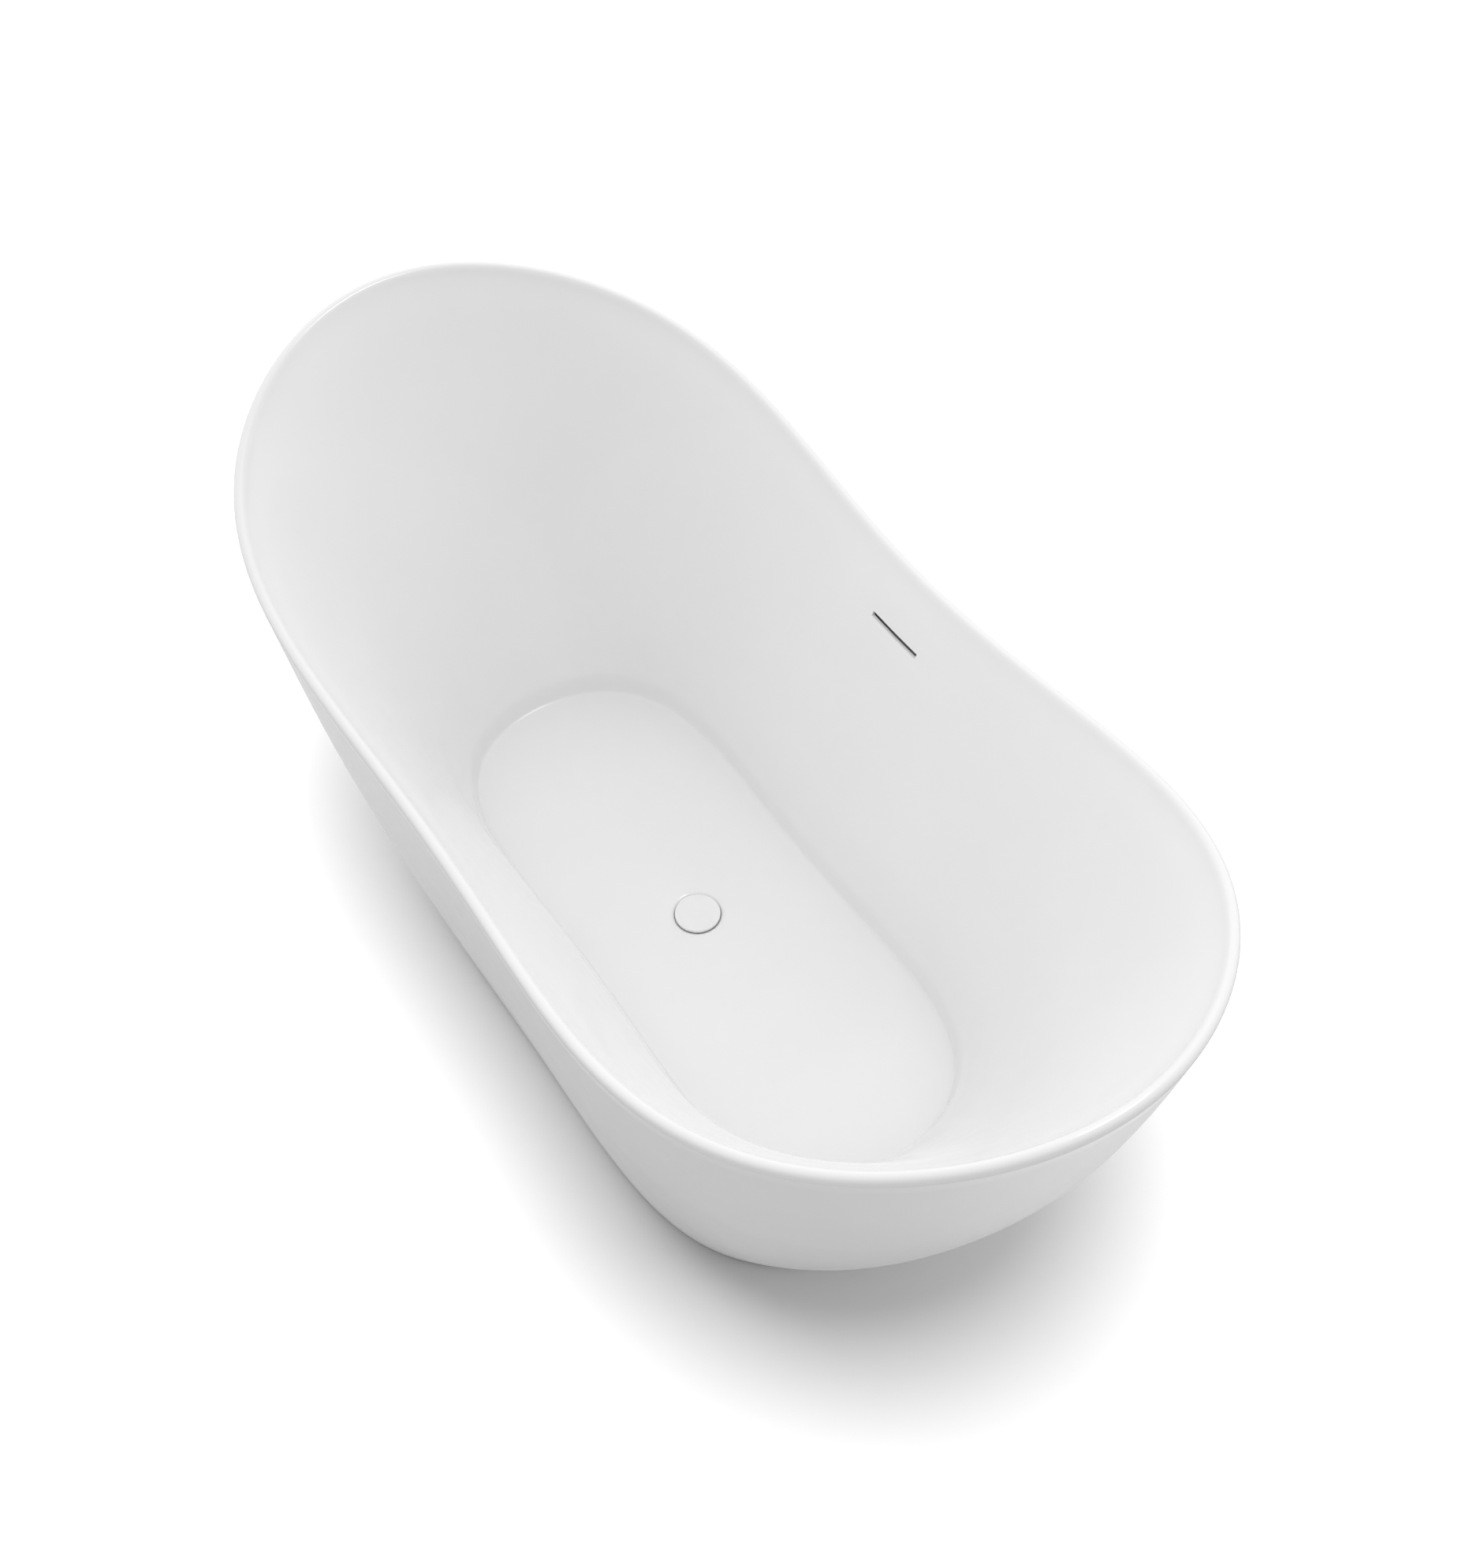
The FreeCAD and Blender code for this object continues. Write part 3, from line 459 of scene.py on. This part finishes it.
def model_skirt():
    """The outer shell, bulged between its foot and its top, with both edges rounded."""
    faces = []
    for outward, direction in ((0, 1), (-SHELL, -1)):
        controls = [(mixed(SKIRT_FOOT, SKIRT_TOP, i / 4, *SKIRT_BULGE), outward, 0)
                    for i in range(5)]
        places = [3 * i / 48 for i in range(49)]
        rows = [[sheet_point(controls, turn, v) for turn in ANGLES] for v in places]
        faces += rows[::direction]
    skirt = laid_rings("skirt_shell", faces)
    select_open_edges()
    bpy.ops.mesh.bridge_edge_loops()
    bpy.ops.mesh.select_all(action="DESELECT")
    bpy.ops.mesh.edges_select_sharp(sharpness=math.radians(50))
    bpy.ops.mesh.bevel(offset=0.0012, segments=3, affect="EDGES")
    return finish_piece(skirt, "white_acrylic", "tub", "skirt", angle=50)


model_basin()
model_skirt()

# ---- the waste cap -------------------------------------------------------------------------------


def model_cap():
    """A shallow round cap with a soft edge and a slight crown."""
    low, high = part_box("plug_cap")
    middle = (low + high) / 2
    clear_selection()
    bpy.ops.mesh.primitive_cylinder_add(vertices=128, radius=0.034, depth=high.z - low.z - 0.0003,
                                        location=(middle.x, 0, middle.z - 0.00015))
    cap = bpy.context.object
    cap.name = "waste_cap"
    bpy.ops.object.transform_apply(location=True, rotation=True, scale=True)
    bpy.ops.object.mode_set(mode="EDIT")
    bpy.ops.mesh.select_all(action="DESELECT")
    bpy.ops.mesh.select_mode(type="EDGE")
    mesh = bmesh.from_edit_mesh(cap.data)
    for edge in mesh.edges:
        if all(v.co.z > middle.z for v in edge.verts):
            edge.select_set(True)
    bmesh.update_edit_mesh(cap.data)
    bpy.ops.mesh.bevel(offset=0.0009, segments=5, affect="EDGES")
    bpy.ops.mesh.select_all(action="DESELECT")
    bpy.ops.mesh.select_mode(type="FACE")
    top = max(bmesh.from_edit_mesh(cap.data).faces,
              key=lambda face: len(face.verts) * (face.calc_center_median().z > middle.z))
    top.select_set(True)
    bmesh.update_edit_mesh(cap.data)
    # a crown of 0.3 mm: each narrower ring of the top rises less than the one before
    for inward, upward in ((0.003, 0), (0.006, 0.00015), (0.008, 0.0001), (0.010, 0.00005)):
        bpy.ops.mesh.inset(thickness=inward)
        bpy.ops.transform.translate(value=(0, 0, upward))
    return finish_piece(cap, "white_enamel", "plug", "plug_cap", angle=40)


model_cap()

# ---- helpers for the smaller pieces --------------------------------------------------------------


def edit(piece):
    """Open a piece in edit mode with nothing selected."""
    clear_selection()
    bpy.context.view_layer.objects.active = piece
    piece.select_set(True)
    bpy.ops.object.mode_set(mode="EDIT")
    bpy.ops.mesh.select_all(action="DESELECT")
    return bmesh.from_edit_mesh(piece.data)


def select_edges(piece, wanted):
    """Select the edges for which wanted(edge) holds and count them."""
    mesh = edit(piece)
    bpy.ops.mesh.select_mode(type="EDGE")
    found = [edge for edge in mesh.edges if wanted(edge)]
    for edge in found:
        edge.select_set(True)
    bmesh.update_edit_mesh(piece.data)
    return len(found)


def bevelled(piece, width, segments=3, angle=40):
    """Round every edge sharper than the angle."""
    clear_selection()
    bpy.context.view_layer.objects.active = piece
    piece.select_set(True)
    bevel = piece.modifiers.new("rounding", "BEVEL")
    bevel.width = width
    bevel.segments = segments
    bevel.limit_method = "ANGLE"
    bevel.angle_limit = math.radians(angle)
    bpy.ops.object.modifier_apply(modifier=bevel.name)
    return piece


def copy_of(node, name):
    """A merged copy of a CAD piece, its flat faces made whole, ready to be finished."""
    clear_selection()
    piece = bpy.data.objects.new(name, nodes[node].data.copy())
    bpy.context.scene.collection.objects.link(piece)
    edit(piece)
    bpy.ops.mesh.select_all(action="SELECT")
    bpy.ops.mesh.remove_doubles(threshold=0.000002)
    bpy.ops.mesh.dissolve_limited(angle_limit=math.radians(0.6))
    bpy.ops.object.mode_set(mode="OBJECT")
    return piece


def softened(node, width, segments=3):
    """The CAD piece with its edges rounded."""
    piece = bevelled(copy_of(node, node + "_finished"), width, segments)
    return finish_piece(piece, node_slots[node], "tub", node)


def boolean(piece, tool, operation):
    """Trim a piece with a tool, which is used up."""
    clear_selection()
    bpy.context.view_layer.objects.active = piece
    piece.select_set(True)
    trim = piece.modifiers.new("trim", "BOOLEAN")
    trim.object = tool
    trim.operation = operation
    trim.solver = "EXACT"
    bpy.ops.object.modifier_apply(modifier=trim.name)
    bpy.data.objects.remove(tool)
    return piece


def moved_copy(piece, name, shift):
    """A copy with its own mesh, moved inside the mesh."""
    clear_selection()
    other = bpy.data.objects.new(name, piece.data.copy())
    other.data.transform(Matrix.Translation(shift))
    bpy.context.scene.collection.objects.link(other)
    return other


def joined(name, pieces):
    """One piece made of several."""
    clear_selection()
    for piece in pieces:
        piece.select_set(True)
    bpy.context.view_layer.objects.active = pieces[0]
    bpy.ops.object.join()
    pieces[0].name = name
    return pieces[0]


def rounded(corners, steps=4):
    """A section of (radius, height, rounding) corners in mm with each corner drawn as an arc."""
    points = []
    count = len(corners)
    for index, (radius, height, rounding) in enumerate(corners):
        here = Vector((radius, height))
        if rounding == 0 or index in (0, count - 1):
            points.append((radius, height))
            continue
        back = (Vector(corners[index - 1][:2]) - here).normalized()
        ahead = (Vector(corners[index + 1][:2]) - here).normalized()
        for step in range(steps + 1):
            t = step / steps
            point = (1 - t) ** 2 * (here + back * rounding) + 2 * t * (1 - t) * here \
                + t ** 2 * (here + ahead * rounding)
            points.append((point.x, point.y))
    return points


def close_ends():
    """Fill every open loop of the piece in edit mode."""
    select_open_edges()
    bpy.ops.mesh.fill_holes(sides=0)


def turned(name, section, count):
    """A lathe-turned solid about the z axis from a section of (radius, height) points in mm: a
    circle is extruded along it and capped at both ends."""
    rows = [[Vector((radius * math.cos(2 * math.pi * i / count),
                     radius * math.sin(2 * math.pi * i / count), height)) for i in range(count)]
            for radius, height in section]
    piece = laid_rings(name, rows)
    close_ends()
    bpy.ops.object.mode_set(mode="OBJECT")
    return piece


def wall_point(x, along_y, along_z):
    """A point given about the overflow slot: out of the wall's back and up the wall."""
    lean = math.radians(27.12)
    return Vector((x - 5, 334.09 + along_y * math.cos(lean) + along_z * math.sin(lean),
                   520 - along_y * math.sin(lean) + along_z * math.cos(lean)))


CORNERS = {"head_near": (-330, -205), "head_far": (-330, 205), "foot_near": (330, -205),
           "foot_far": (330, 205)}
STUD_BOTTOM, STUD_TOP = 6, 86
THREAD_PITCH = 1.5
NUT_CORNER, NUT_BORE = 9.8, 5.1

# ---- levelling feet ------------------------------------------------------------------------------


def model_stud():
    """An M10 stud: one turn of thread wound up the bar with the Screw modifier, then cut."""
    clear_selection()
    bpy.ops.mesh.primitive_circle_add(vertices=4, radius=0.001)
    stud = bpy.context.object
    edit(stud)
    bpy.ops.mesh.select_all(action="SELECT")
    bpy.ops.mesh.delete(type="VERT")
    mesh = bmesh.from_edit_mesh(stud.data)
    section = ((4.1, 0), (4.95, 0.42), (4.95, 0.6), (4.1, 1.02), (4.1, THREAD_PITCH))
    verts = [mesh.verts.new((r * MM, 0, (4 + z) * MM)) for r, z in section]
    for a, b in zip(verts, verts[1:]):
        mesh.edges.new((a, b))
    bmesh.update_edit_mesh(stud.data)
    bpy.ops.object.mode_set(mode="OBJECT")
    wind = stud.modifiers.new("thread", "SCREW")
    wind.screw_offset = THREAD_PITCH * MM
    wind.iterations = 57
    wind.steps = 24
    wind.render_steps = 24
    wind.use_merge_vertices = True
    wind.merge_threshold = 0.00001
    bpy.ops.object.modifier_apply(modifier=wind.name)
    edit(stud)
    bpy.ops.mesh.select_all(action="SELECT")
    bpy.ops.mesh.remove_doubles(threshold=0.00001)
    for height, up in ((STUD_BOTTOM, 1), (STUD_TOP, -1)):
        bpy.ops.mesh.select_all(action="SELECT")
        bpy.ops.mesh.bisect(plane_co=(0, 0, height * MM), plane_no=(0, 0, up), use_fill=True,
                            clear_inner=True)
    bpy.ops.object.mode_set(mode="OBJECT")
    return stud


def model_pad():
    """A moulded rubber pad with a bevelled skirt, a raised boss and grip grooves under the sole."""
    grooves = []
    for radius in (6, 11, 16, 21):
        grooves += [(radius, 0, 0), (radius + 0.5, 1.2, 0),
                    (radius + 1.7, 1.2, 0), (radius + 2.2, 0, 0)]
    section = rounded([(0.3, 0, 0), *grooves, (25, 0, 1.2), (25, 5.2, 1.2), (12, 8, 2),
                       (9.2, 11, 1.5),
                       (9, 18, 1), (5.1, 18, 0.4), (5.05, 6.2, 0), (0.3, 6.2, 0)])
    return turned("pad", section, 72)


def model_nut(name, corner, bore, low, high, chamfer=1.3):
    """A hexagon nut: its corners are turned off by a cone at both ends. The countersunk cutter is
    meant to open the bore, but as it stands it leaves the nut solid."""
    clear_selection()
    bpy.ops.mesh.primitive_cylinder_add(vertices=6, radius=corner * MM, depth=(high - low) * MM,
                                        location=(0, 0, (low + high) / 2 * MM))
    nut = bpy.context.object
    bpy.ops.object.transform_apply(location=True, rotation=True, scale=True)
    nut.name = name
    nut.data.transform(Matrix.Rotation(math.radians(30), 4, "Z"))
    outside = turned("turned_off", [(0.5, low - 0.01), (corner - chamfer, low - 0.01),
                                    (corner + 0.05, low + chamfer * 0.6),
                                    (corner + 0.05, high - chamfer * 0.6),
                                    (corner - chamfer, high + 0.01), (0.5, high + 0.01)], 96)
    boolean(nut, outside, "INTERSECT")
    flare = (high - low) * 0.12
    hole = turned("countersunk", [(0.5, low - 1), (bore + flare + 1, low - 1), (bore, low + flare),
                                  (bore, high - flare), (bore + flare + 1, high + 1),
                                  (0.5, high + 1)],
                  48)
    return boolean(nut, hole, "DIFFERENCE")


def place_feet():
    """One stud, pad and pair of nuts are modelled and copied to the four corners."""
    stud = model_stud()
    pad = model_pad()
    adjusting = model_nut("adjusting", NUT_CORNER, NUT_BORE, 46, 54)
    lock = model_nut("lock", NUT_CORNER, NUT_BORE, 59, 64)
    for corner, (x, y) in CORNERS.items():
        shift = Vector((x, y, 0)) * MM
        for piece, kind, slot, body in ((stud, "stud", "zinc_steel", "foot_"),
                                        (pad, "pad", "foot_rubber", "foot_"),
                                        (adjusting, "adjusting_nut", "zinc_steel", "nuts_"),
                                        (lock, "lock_nut", "zinc_steel", "nuts_")):
            own = moved_copy(piece, f"{kind}_{corner}", shift)
            finish_piece(own, slot, body + corner, f"foot_{kind}_{corner}")
    for piece in (stud, pad, adjusting, lock):
        bpy.data.objects.remove(piece)


# ---- frame ---------------------------------------------------------------------------------------


def model_tube(node, axis):
    """A drawn square tube: large outer and inner corner radii, and a deburred cut at each end."""
    tube = copy_of(node, node + "_finished")
    long_edges = select_edges(tube, lambda edge: edge.calc_length() > 0.3 and abs(
        (edge.verts[0].co - edge.verts[1].co)[axis]) > 0.3)
    if long_edges:
        bpy.ops.mesh.bevel(offset=0.0019, segments=4, affect="EDGES", clamp_overlap=True)
    bpy.ops.object.mode_set(mode="OBJECT")
    bevelled(tube, 0.0003, 1, 50)
    finish_piece(tube, node_slots[node], "tub", node, angle=30)


def model_screw(reach, radius, head_radius, head_height):
    """A pan-head screw pointing up from z = 0, with a cross recess in its head."""
    crown = [(head_radius * math.cos(a), -head_height * math.sin(a) ** 0.8)
             for a in [math.radians(d) for d in (85, 70, 55, 40, 25, 12, 4)]]
    section = [(0.2, -head_height), *crown, (head_radius, 0), (radius, 0), (radius, reach - 1.5),
               (0.3, reach)]
    screw = turned("screw", section, 32)
    for turn in (0, 90):
        clear_selection()
        bpy.ops.mesh.primitive_cube_add(size=1, location=(0, 0, -head_height * MM))
        blade = bpy.context.object
        blade.scale = (head_radius * 1.1 * MM, 0.9 * MM, 2.6 * MM)
        bpy.ops.object.transform_apply(location=True, rotation=True, scale=True)
        blade.data.transform(Matrix.Rotation(math.radians(turn), 4, "Z"))
        boolean(screw, blade, "DIFFERENCE")
    return screw


def place_screws():
    """The screws that hold the board to the frame, and those that hold the skirt's stays."""
    pattern = model_screw(42, 2.35, 4.4, 2.9)
    group = [moved_copy(pattern, "frame_screw", Vector((x, y, 59)) * MM)
             for x in (-330, -130, 130, 330) for y in (-95, 95)]
    bpy.data.objects.remove(pattern)
    finish_piece(joined("frame_screws_finished", group), "zinc_steel", "tub", "frame_screws")
    pattern = model_screw(19, 1.9, 4.1, 2.9)
    group = []
    for x in (-200, 200):
        for side in (-1, 1):
            own = moved_copy(pattern, "stay_screw", (0, 0, 0))
            turn = Matrix.Rotation(math.radians(-90 * side), 4, "X")
            own.data.transform(Matrix.Translation(Vector((x, side * 266, 26)) * MM) @ turn)
            group.append(own)
    bpy.data.objects.remove(pattern)
    finish_piece(joined("stay_screws_finished", group), "zinc_steel", "tub", "stay_screws")


# ---- waste, trap and overflow --------------------------------------------------------------------


HOSE_RADIUS = 10.95


def model_union_nut():
    """The trap's hand nut, with grip ribs round its rim."""
    low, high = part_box("trap_union_nut")
    bottom, top = low.z / MM, high.z / MM
    count = 36 * 8
    section = rounded([(50.35, bottom, 0), (56, bottom, 1), (56, top - 0.6, 1.2), (42.1, top, 0.6),
                       (42.1, top - 2, 0), (50.35, top - 2, 0)])
    rows = []
    for radius, height in section:
        row = []
        for i in range(count):
            turn = 2 * math.pi * i / count
            rib = 0.5 + 0.5 * math.tanh(4 * math.cos(36 * turn))
            ribbed = radius > 54 and bottom + 0.8 < height < top - 1
            own = radius - (2.2 * (1 - rib) if ribbed else 0)
            row.append(Vector((WASTE_X + own * math.cos(turn), own * math.sin(turn), height)))
        rows.append(row)
    nut = laid_rings("union_nut_ribbed", rows)
    select_open_edges()
    bpy.ops.mesh.bridge_edge_loops()
    finish_piece(nut, "trap_plastic", "tub", "trap_union_nut", angle=40)


def hose_line(step):
    """Points and directions along the hose: straight runs joined by arcs of 150 and 92 mm."""
    start = wall_point(-9, 22, -62)
    down = (wall_point(-9, 22, -94) - start).normalized()
    corners = [start, start + down * 32, Vector((WASTE_X, 222, 75)), Vector((WASTE_X, 61.5, 75))]
    line = []
    here = start
    for index, radius in ((1, 150), (2, 92)):
        corner = corners[index]
        back = (corners[index - 1] - corner).normalized()
        ahead = (corners[index + 1] - corner).normalized()
        half = (math.pi - back.angle(ahead)) / 2
        reach = radius * math.tan(half)
        first = corner + back * reach
        centre = corner + (back + ahead).normalized() * (radius / math.cos(half))
        line += run_between(here, first, step)
        arm = first - centre
        axis = arm.cross(corner - centre).normalized()
        count = max(2, round(2 * half * radius / step))
        line += [centre + Quaternion(axis, 2 * half * i / count) @ arm for i in range(count)]
        here = corner + ahead * reach
    return line + run_between(here, corners[-1], step) + [corners[-1]]


def run_between(start, end, step):
    """Evenly spaced points of a straight run, without its end."""
    count = max(2, round((end - start).length / step))
    return [start.lerp(end, i / count) for i in range(count)]


def model_hose():
    """A corrugated hose with a smooth cuff at each end, its ridges 4 mm apart."""
    line = hose_line(1.0)
    count = 24
    total = len(line)
    across = Vector((1, 0, 0))
    rows = []
    for index, point in enumerate(line):
        ahead = (line[min(index + 1, total - 1)] - line[max(index - 1, 0)]).normalized()
        up = ahead.cross(across).normalized()
        from_end = min(index, total - 1 - index)
        ridge = 0.0 if from_end < 24 else 1.3 * (0.5 - 0.5 * math.cos(2 * math.pi * index / 4))
        radius = HOSE_RADIUS - ridge
        rows.append([point + radius * (math.cos(2 * math.pi * i / count) * across
                                       + math.sin(2 * math.pi * i / count) * up)
                     for i in range(count)])
    ends = [[point + (corner - point) * (9.05 / HOSE_RADIUS) for corner in row]
            for point, row in ((line[0], rows[0]), (line[-1], rows[-1]))]
    hose = laid_rings("ribbed_hose", [ends[0]] + rows + [ends[1]])
    close_ends()
    finish_piece(hose, "hose_plastic", "tub", "overflow_hose", angle=60)


def model_backnut():
    """The hexagon backnut that clamps the waste from below."""
    low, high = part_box("waste_backnut")
    nut = model_nut("backnut_finished", 35.8, 23.8, low.z / MM, high.z / MM, 2.4)
    nut.data.transform(Matrix.Translation((WASTE_X * MM, 0, 0)))
    finish_piece(nut, node_slots["waste_backnut"], "tub", "waste_backnut")


place_feet()
for rail in ("frame_rail_near", "frame_rail_far"):
    model_tube(rail, 0)
for member in ("head", "inner_head", "inner_foot", "foot"):
    model_tube("cross_member_" + member, 1)
place_screws()
model_union_nut()
model_hose()
model_backnut()
softened("base_board", 0.001, segments=2)
softened("foot_plates", 0.001)
softened("skirt_stays", 0.0006, segments=2)
softened("base_batten", 0.0012, segments=2)
softened("trap_cup", 0.0009)
softened("trap_neck", 0.0005, segments=2)
softened("overflow_housing", 0.0009)

# ---- floor, light and camera ---------------------------------------------------------------------


def make_floor():
    """A plain pale floor under the feet."""
    clear_selection()
    bpy.ops.mesh.primitive_plane_add(size=40, location=(0, 0, cad_box[0].z))
    floor = bpy.context.object
    floor.name = "studio_floor"
    finish, tree, shader, place = start_finish("white_studio_floor", Roughness=0.9)
    shader.inputs["Specular IOR Level"].default_value = 0.0
    mottle(tree, shader, place, 0.6, "#BCBCBD", "#C0C0C0")
    # seen from below, the floor lets the eye through to the underside of the tub
    below = add(tree, "ShaderNodeNewGeometry")
    clear = add(tree, "ShaderNodeBsdfTransparent")
    mixer = add(tree, "ShaderNodeMixShader", {}, {0: below.outputs["Backfacing"],
                                                  1: shader.outputs["BSDF"],
                                                  2: clear.outputs["BSDF"]})
    tree.links.new(mixer.outputs["Shader"], tree.nodes["Material Output"].inputs["Surface"])
    floor.data.materials.append(finish)
    return floor


def light_only(holder, receivers):
    """Keep a lamp's light to the receivers."""
    lit = bpy.data.collections.new(holder.name + "_receivers")
    for item in receivers:
        lit.objects.link(item)
    holder.light_linking.receiver_collection = lit


def area_light(name, place, target, size, watts, receivers=None):
    """A soft rectangular lamp. With receivers given, it lights only those objects."""
    lamp = bpy.data.lights.new(name, "AREA")
    lamp.shape = "RECTANGLE"
    lamp.size, lamp.size_y = size
    lamp.energy = watts
    holder = bpy.data.objects.new(name, lamp)
    bpy.context.scene.collection.objects.link(holder)
    holder.location = place
    aim = Vector(target) - Vector(place)
    holder.rotation_mode = "QUATERNION"
    holder.rotation_quaternion = aim.to_track_quat("-Z", "Y")
    if receivers:
        light_only(holder, receivers)
    return holder


def soft_sun(name, towards, softness, strength, receivers):
    """A wide soft sun that brightens only what the camera sees of the receivers."""
    lamp = bpy.data.lights.new(name, "SUN")
    lamp.angle = math.radians(softness)
    lamp.energy = strength
    lamp.cycles.max_bounces = 0
    holder = bpy.data.objects.new(name, lamp)
    bpy.context.scene.collection.objects.link(holder)
    holder.rotation_mode = "QUATERNION"
    holder.rotation_quaternion = (-Vector(towards)).to_track_quat("-Z", "Y")
    light_only(holder, receivers)


def make_world(dim, bright, side):
    """A white room, brightest towards one side."""
    world = bpy.data.worlds.new("white_room")
    world.use_nodes = True
    tree = world.node_tree
    direction = add(tree, "ShaderNodeTexCoord").outputs["Generated"]
    facing = add(tree, "ShaderNodeVectorMath", {"operation": "DOT_PRODUCT"})
    tree.links.new(direction, facing.inputs[0])
    facing.inputs[1].default_value = Vector(side).normalized()
    climb = add(tree, "ShaderNodeMapRange", {"From Min": -1.0, "To Min": dim, "To Max": bright},
                {"Value": facing.outputs["Value"]})
    dome = tree.nodes["Background"]
    dome.inputs["Color"].default_value = colour("#FFFFFF")
    tree.links.new(climb.outputs["Result"], dome.inputs["Strength"])
    bpy.context.scene.world = world


def make_camera():
    """The studio camera, high over the near side of the foot end."""
    azimuth, elevation, roll = [math.radians(a) for a in (58.4, 50.6, -2.1)]
    back = Vector((math.sin(azimuth) * math.cos(elevation),
                   -math.cos(azimuth) * math.cos(elevation),
                   math.sin(elevation)))
    right = Vector((0, 0, 1)).cross(back).normalized()
    up = back.cross(right)
    across = math.cos(roll) * right + math.sin(roll) * up
    upright = -math.sin(roll) * right + math.cos(roll) * up
    lens = bpy.data.cameras.new("studio_camera")
    lens.lens = 46.79
    lens.sensor_width = 36
    lens.clip_start = 0.05
    lens.clip_end = 100
    camera = bpy.data.objects.new("studio_camera", lens)
    bpy.context.scene.collection.objects.link(camera)
    turn = Matrix((across, upright, back)).transposed()
    camera.matrix_world = Matrix.Translation((1.53858, -0.87884, 2.58247)) @ turn.to_4x4()
    bpy.context.scene.camera = camera


floor = make_floor()
skirt = bpy.data.objects["skirt_shell"]
make_world(0.50, 1.22, (-0.75, 0.5, 0.4))
area_light("key_softbox", (-1.0, 2.0, 3.4), (0, 0, 0.3), (1.8, 1.8), 5)
area_light("left_fill", (-3.2, -1.2, 1.2), (-0.3, 0, 0.3), (1.5, 1.5), 48, [skirt, floor])
area_light("right_fill", (2.6, 2.2, 1.2), (0.5, 0, 0.3), (1.5, 1.5), 36, [skirt, floor])
glint = area_light("glint_panel", (0.2, 0.9, 2.9), (0, 0, 0.3), (0.6, 0.6), 14)
glint.visible_diffuse = False
soft_sun("floor_wash", (0.10, -0.04, 1.0), 24, 4.0, [floor])
make_camera()
bpy.context.scene.view_settings.view_transform = "Standard"
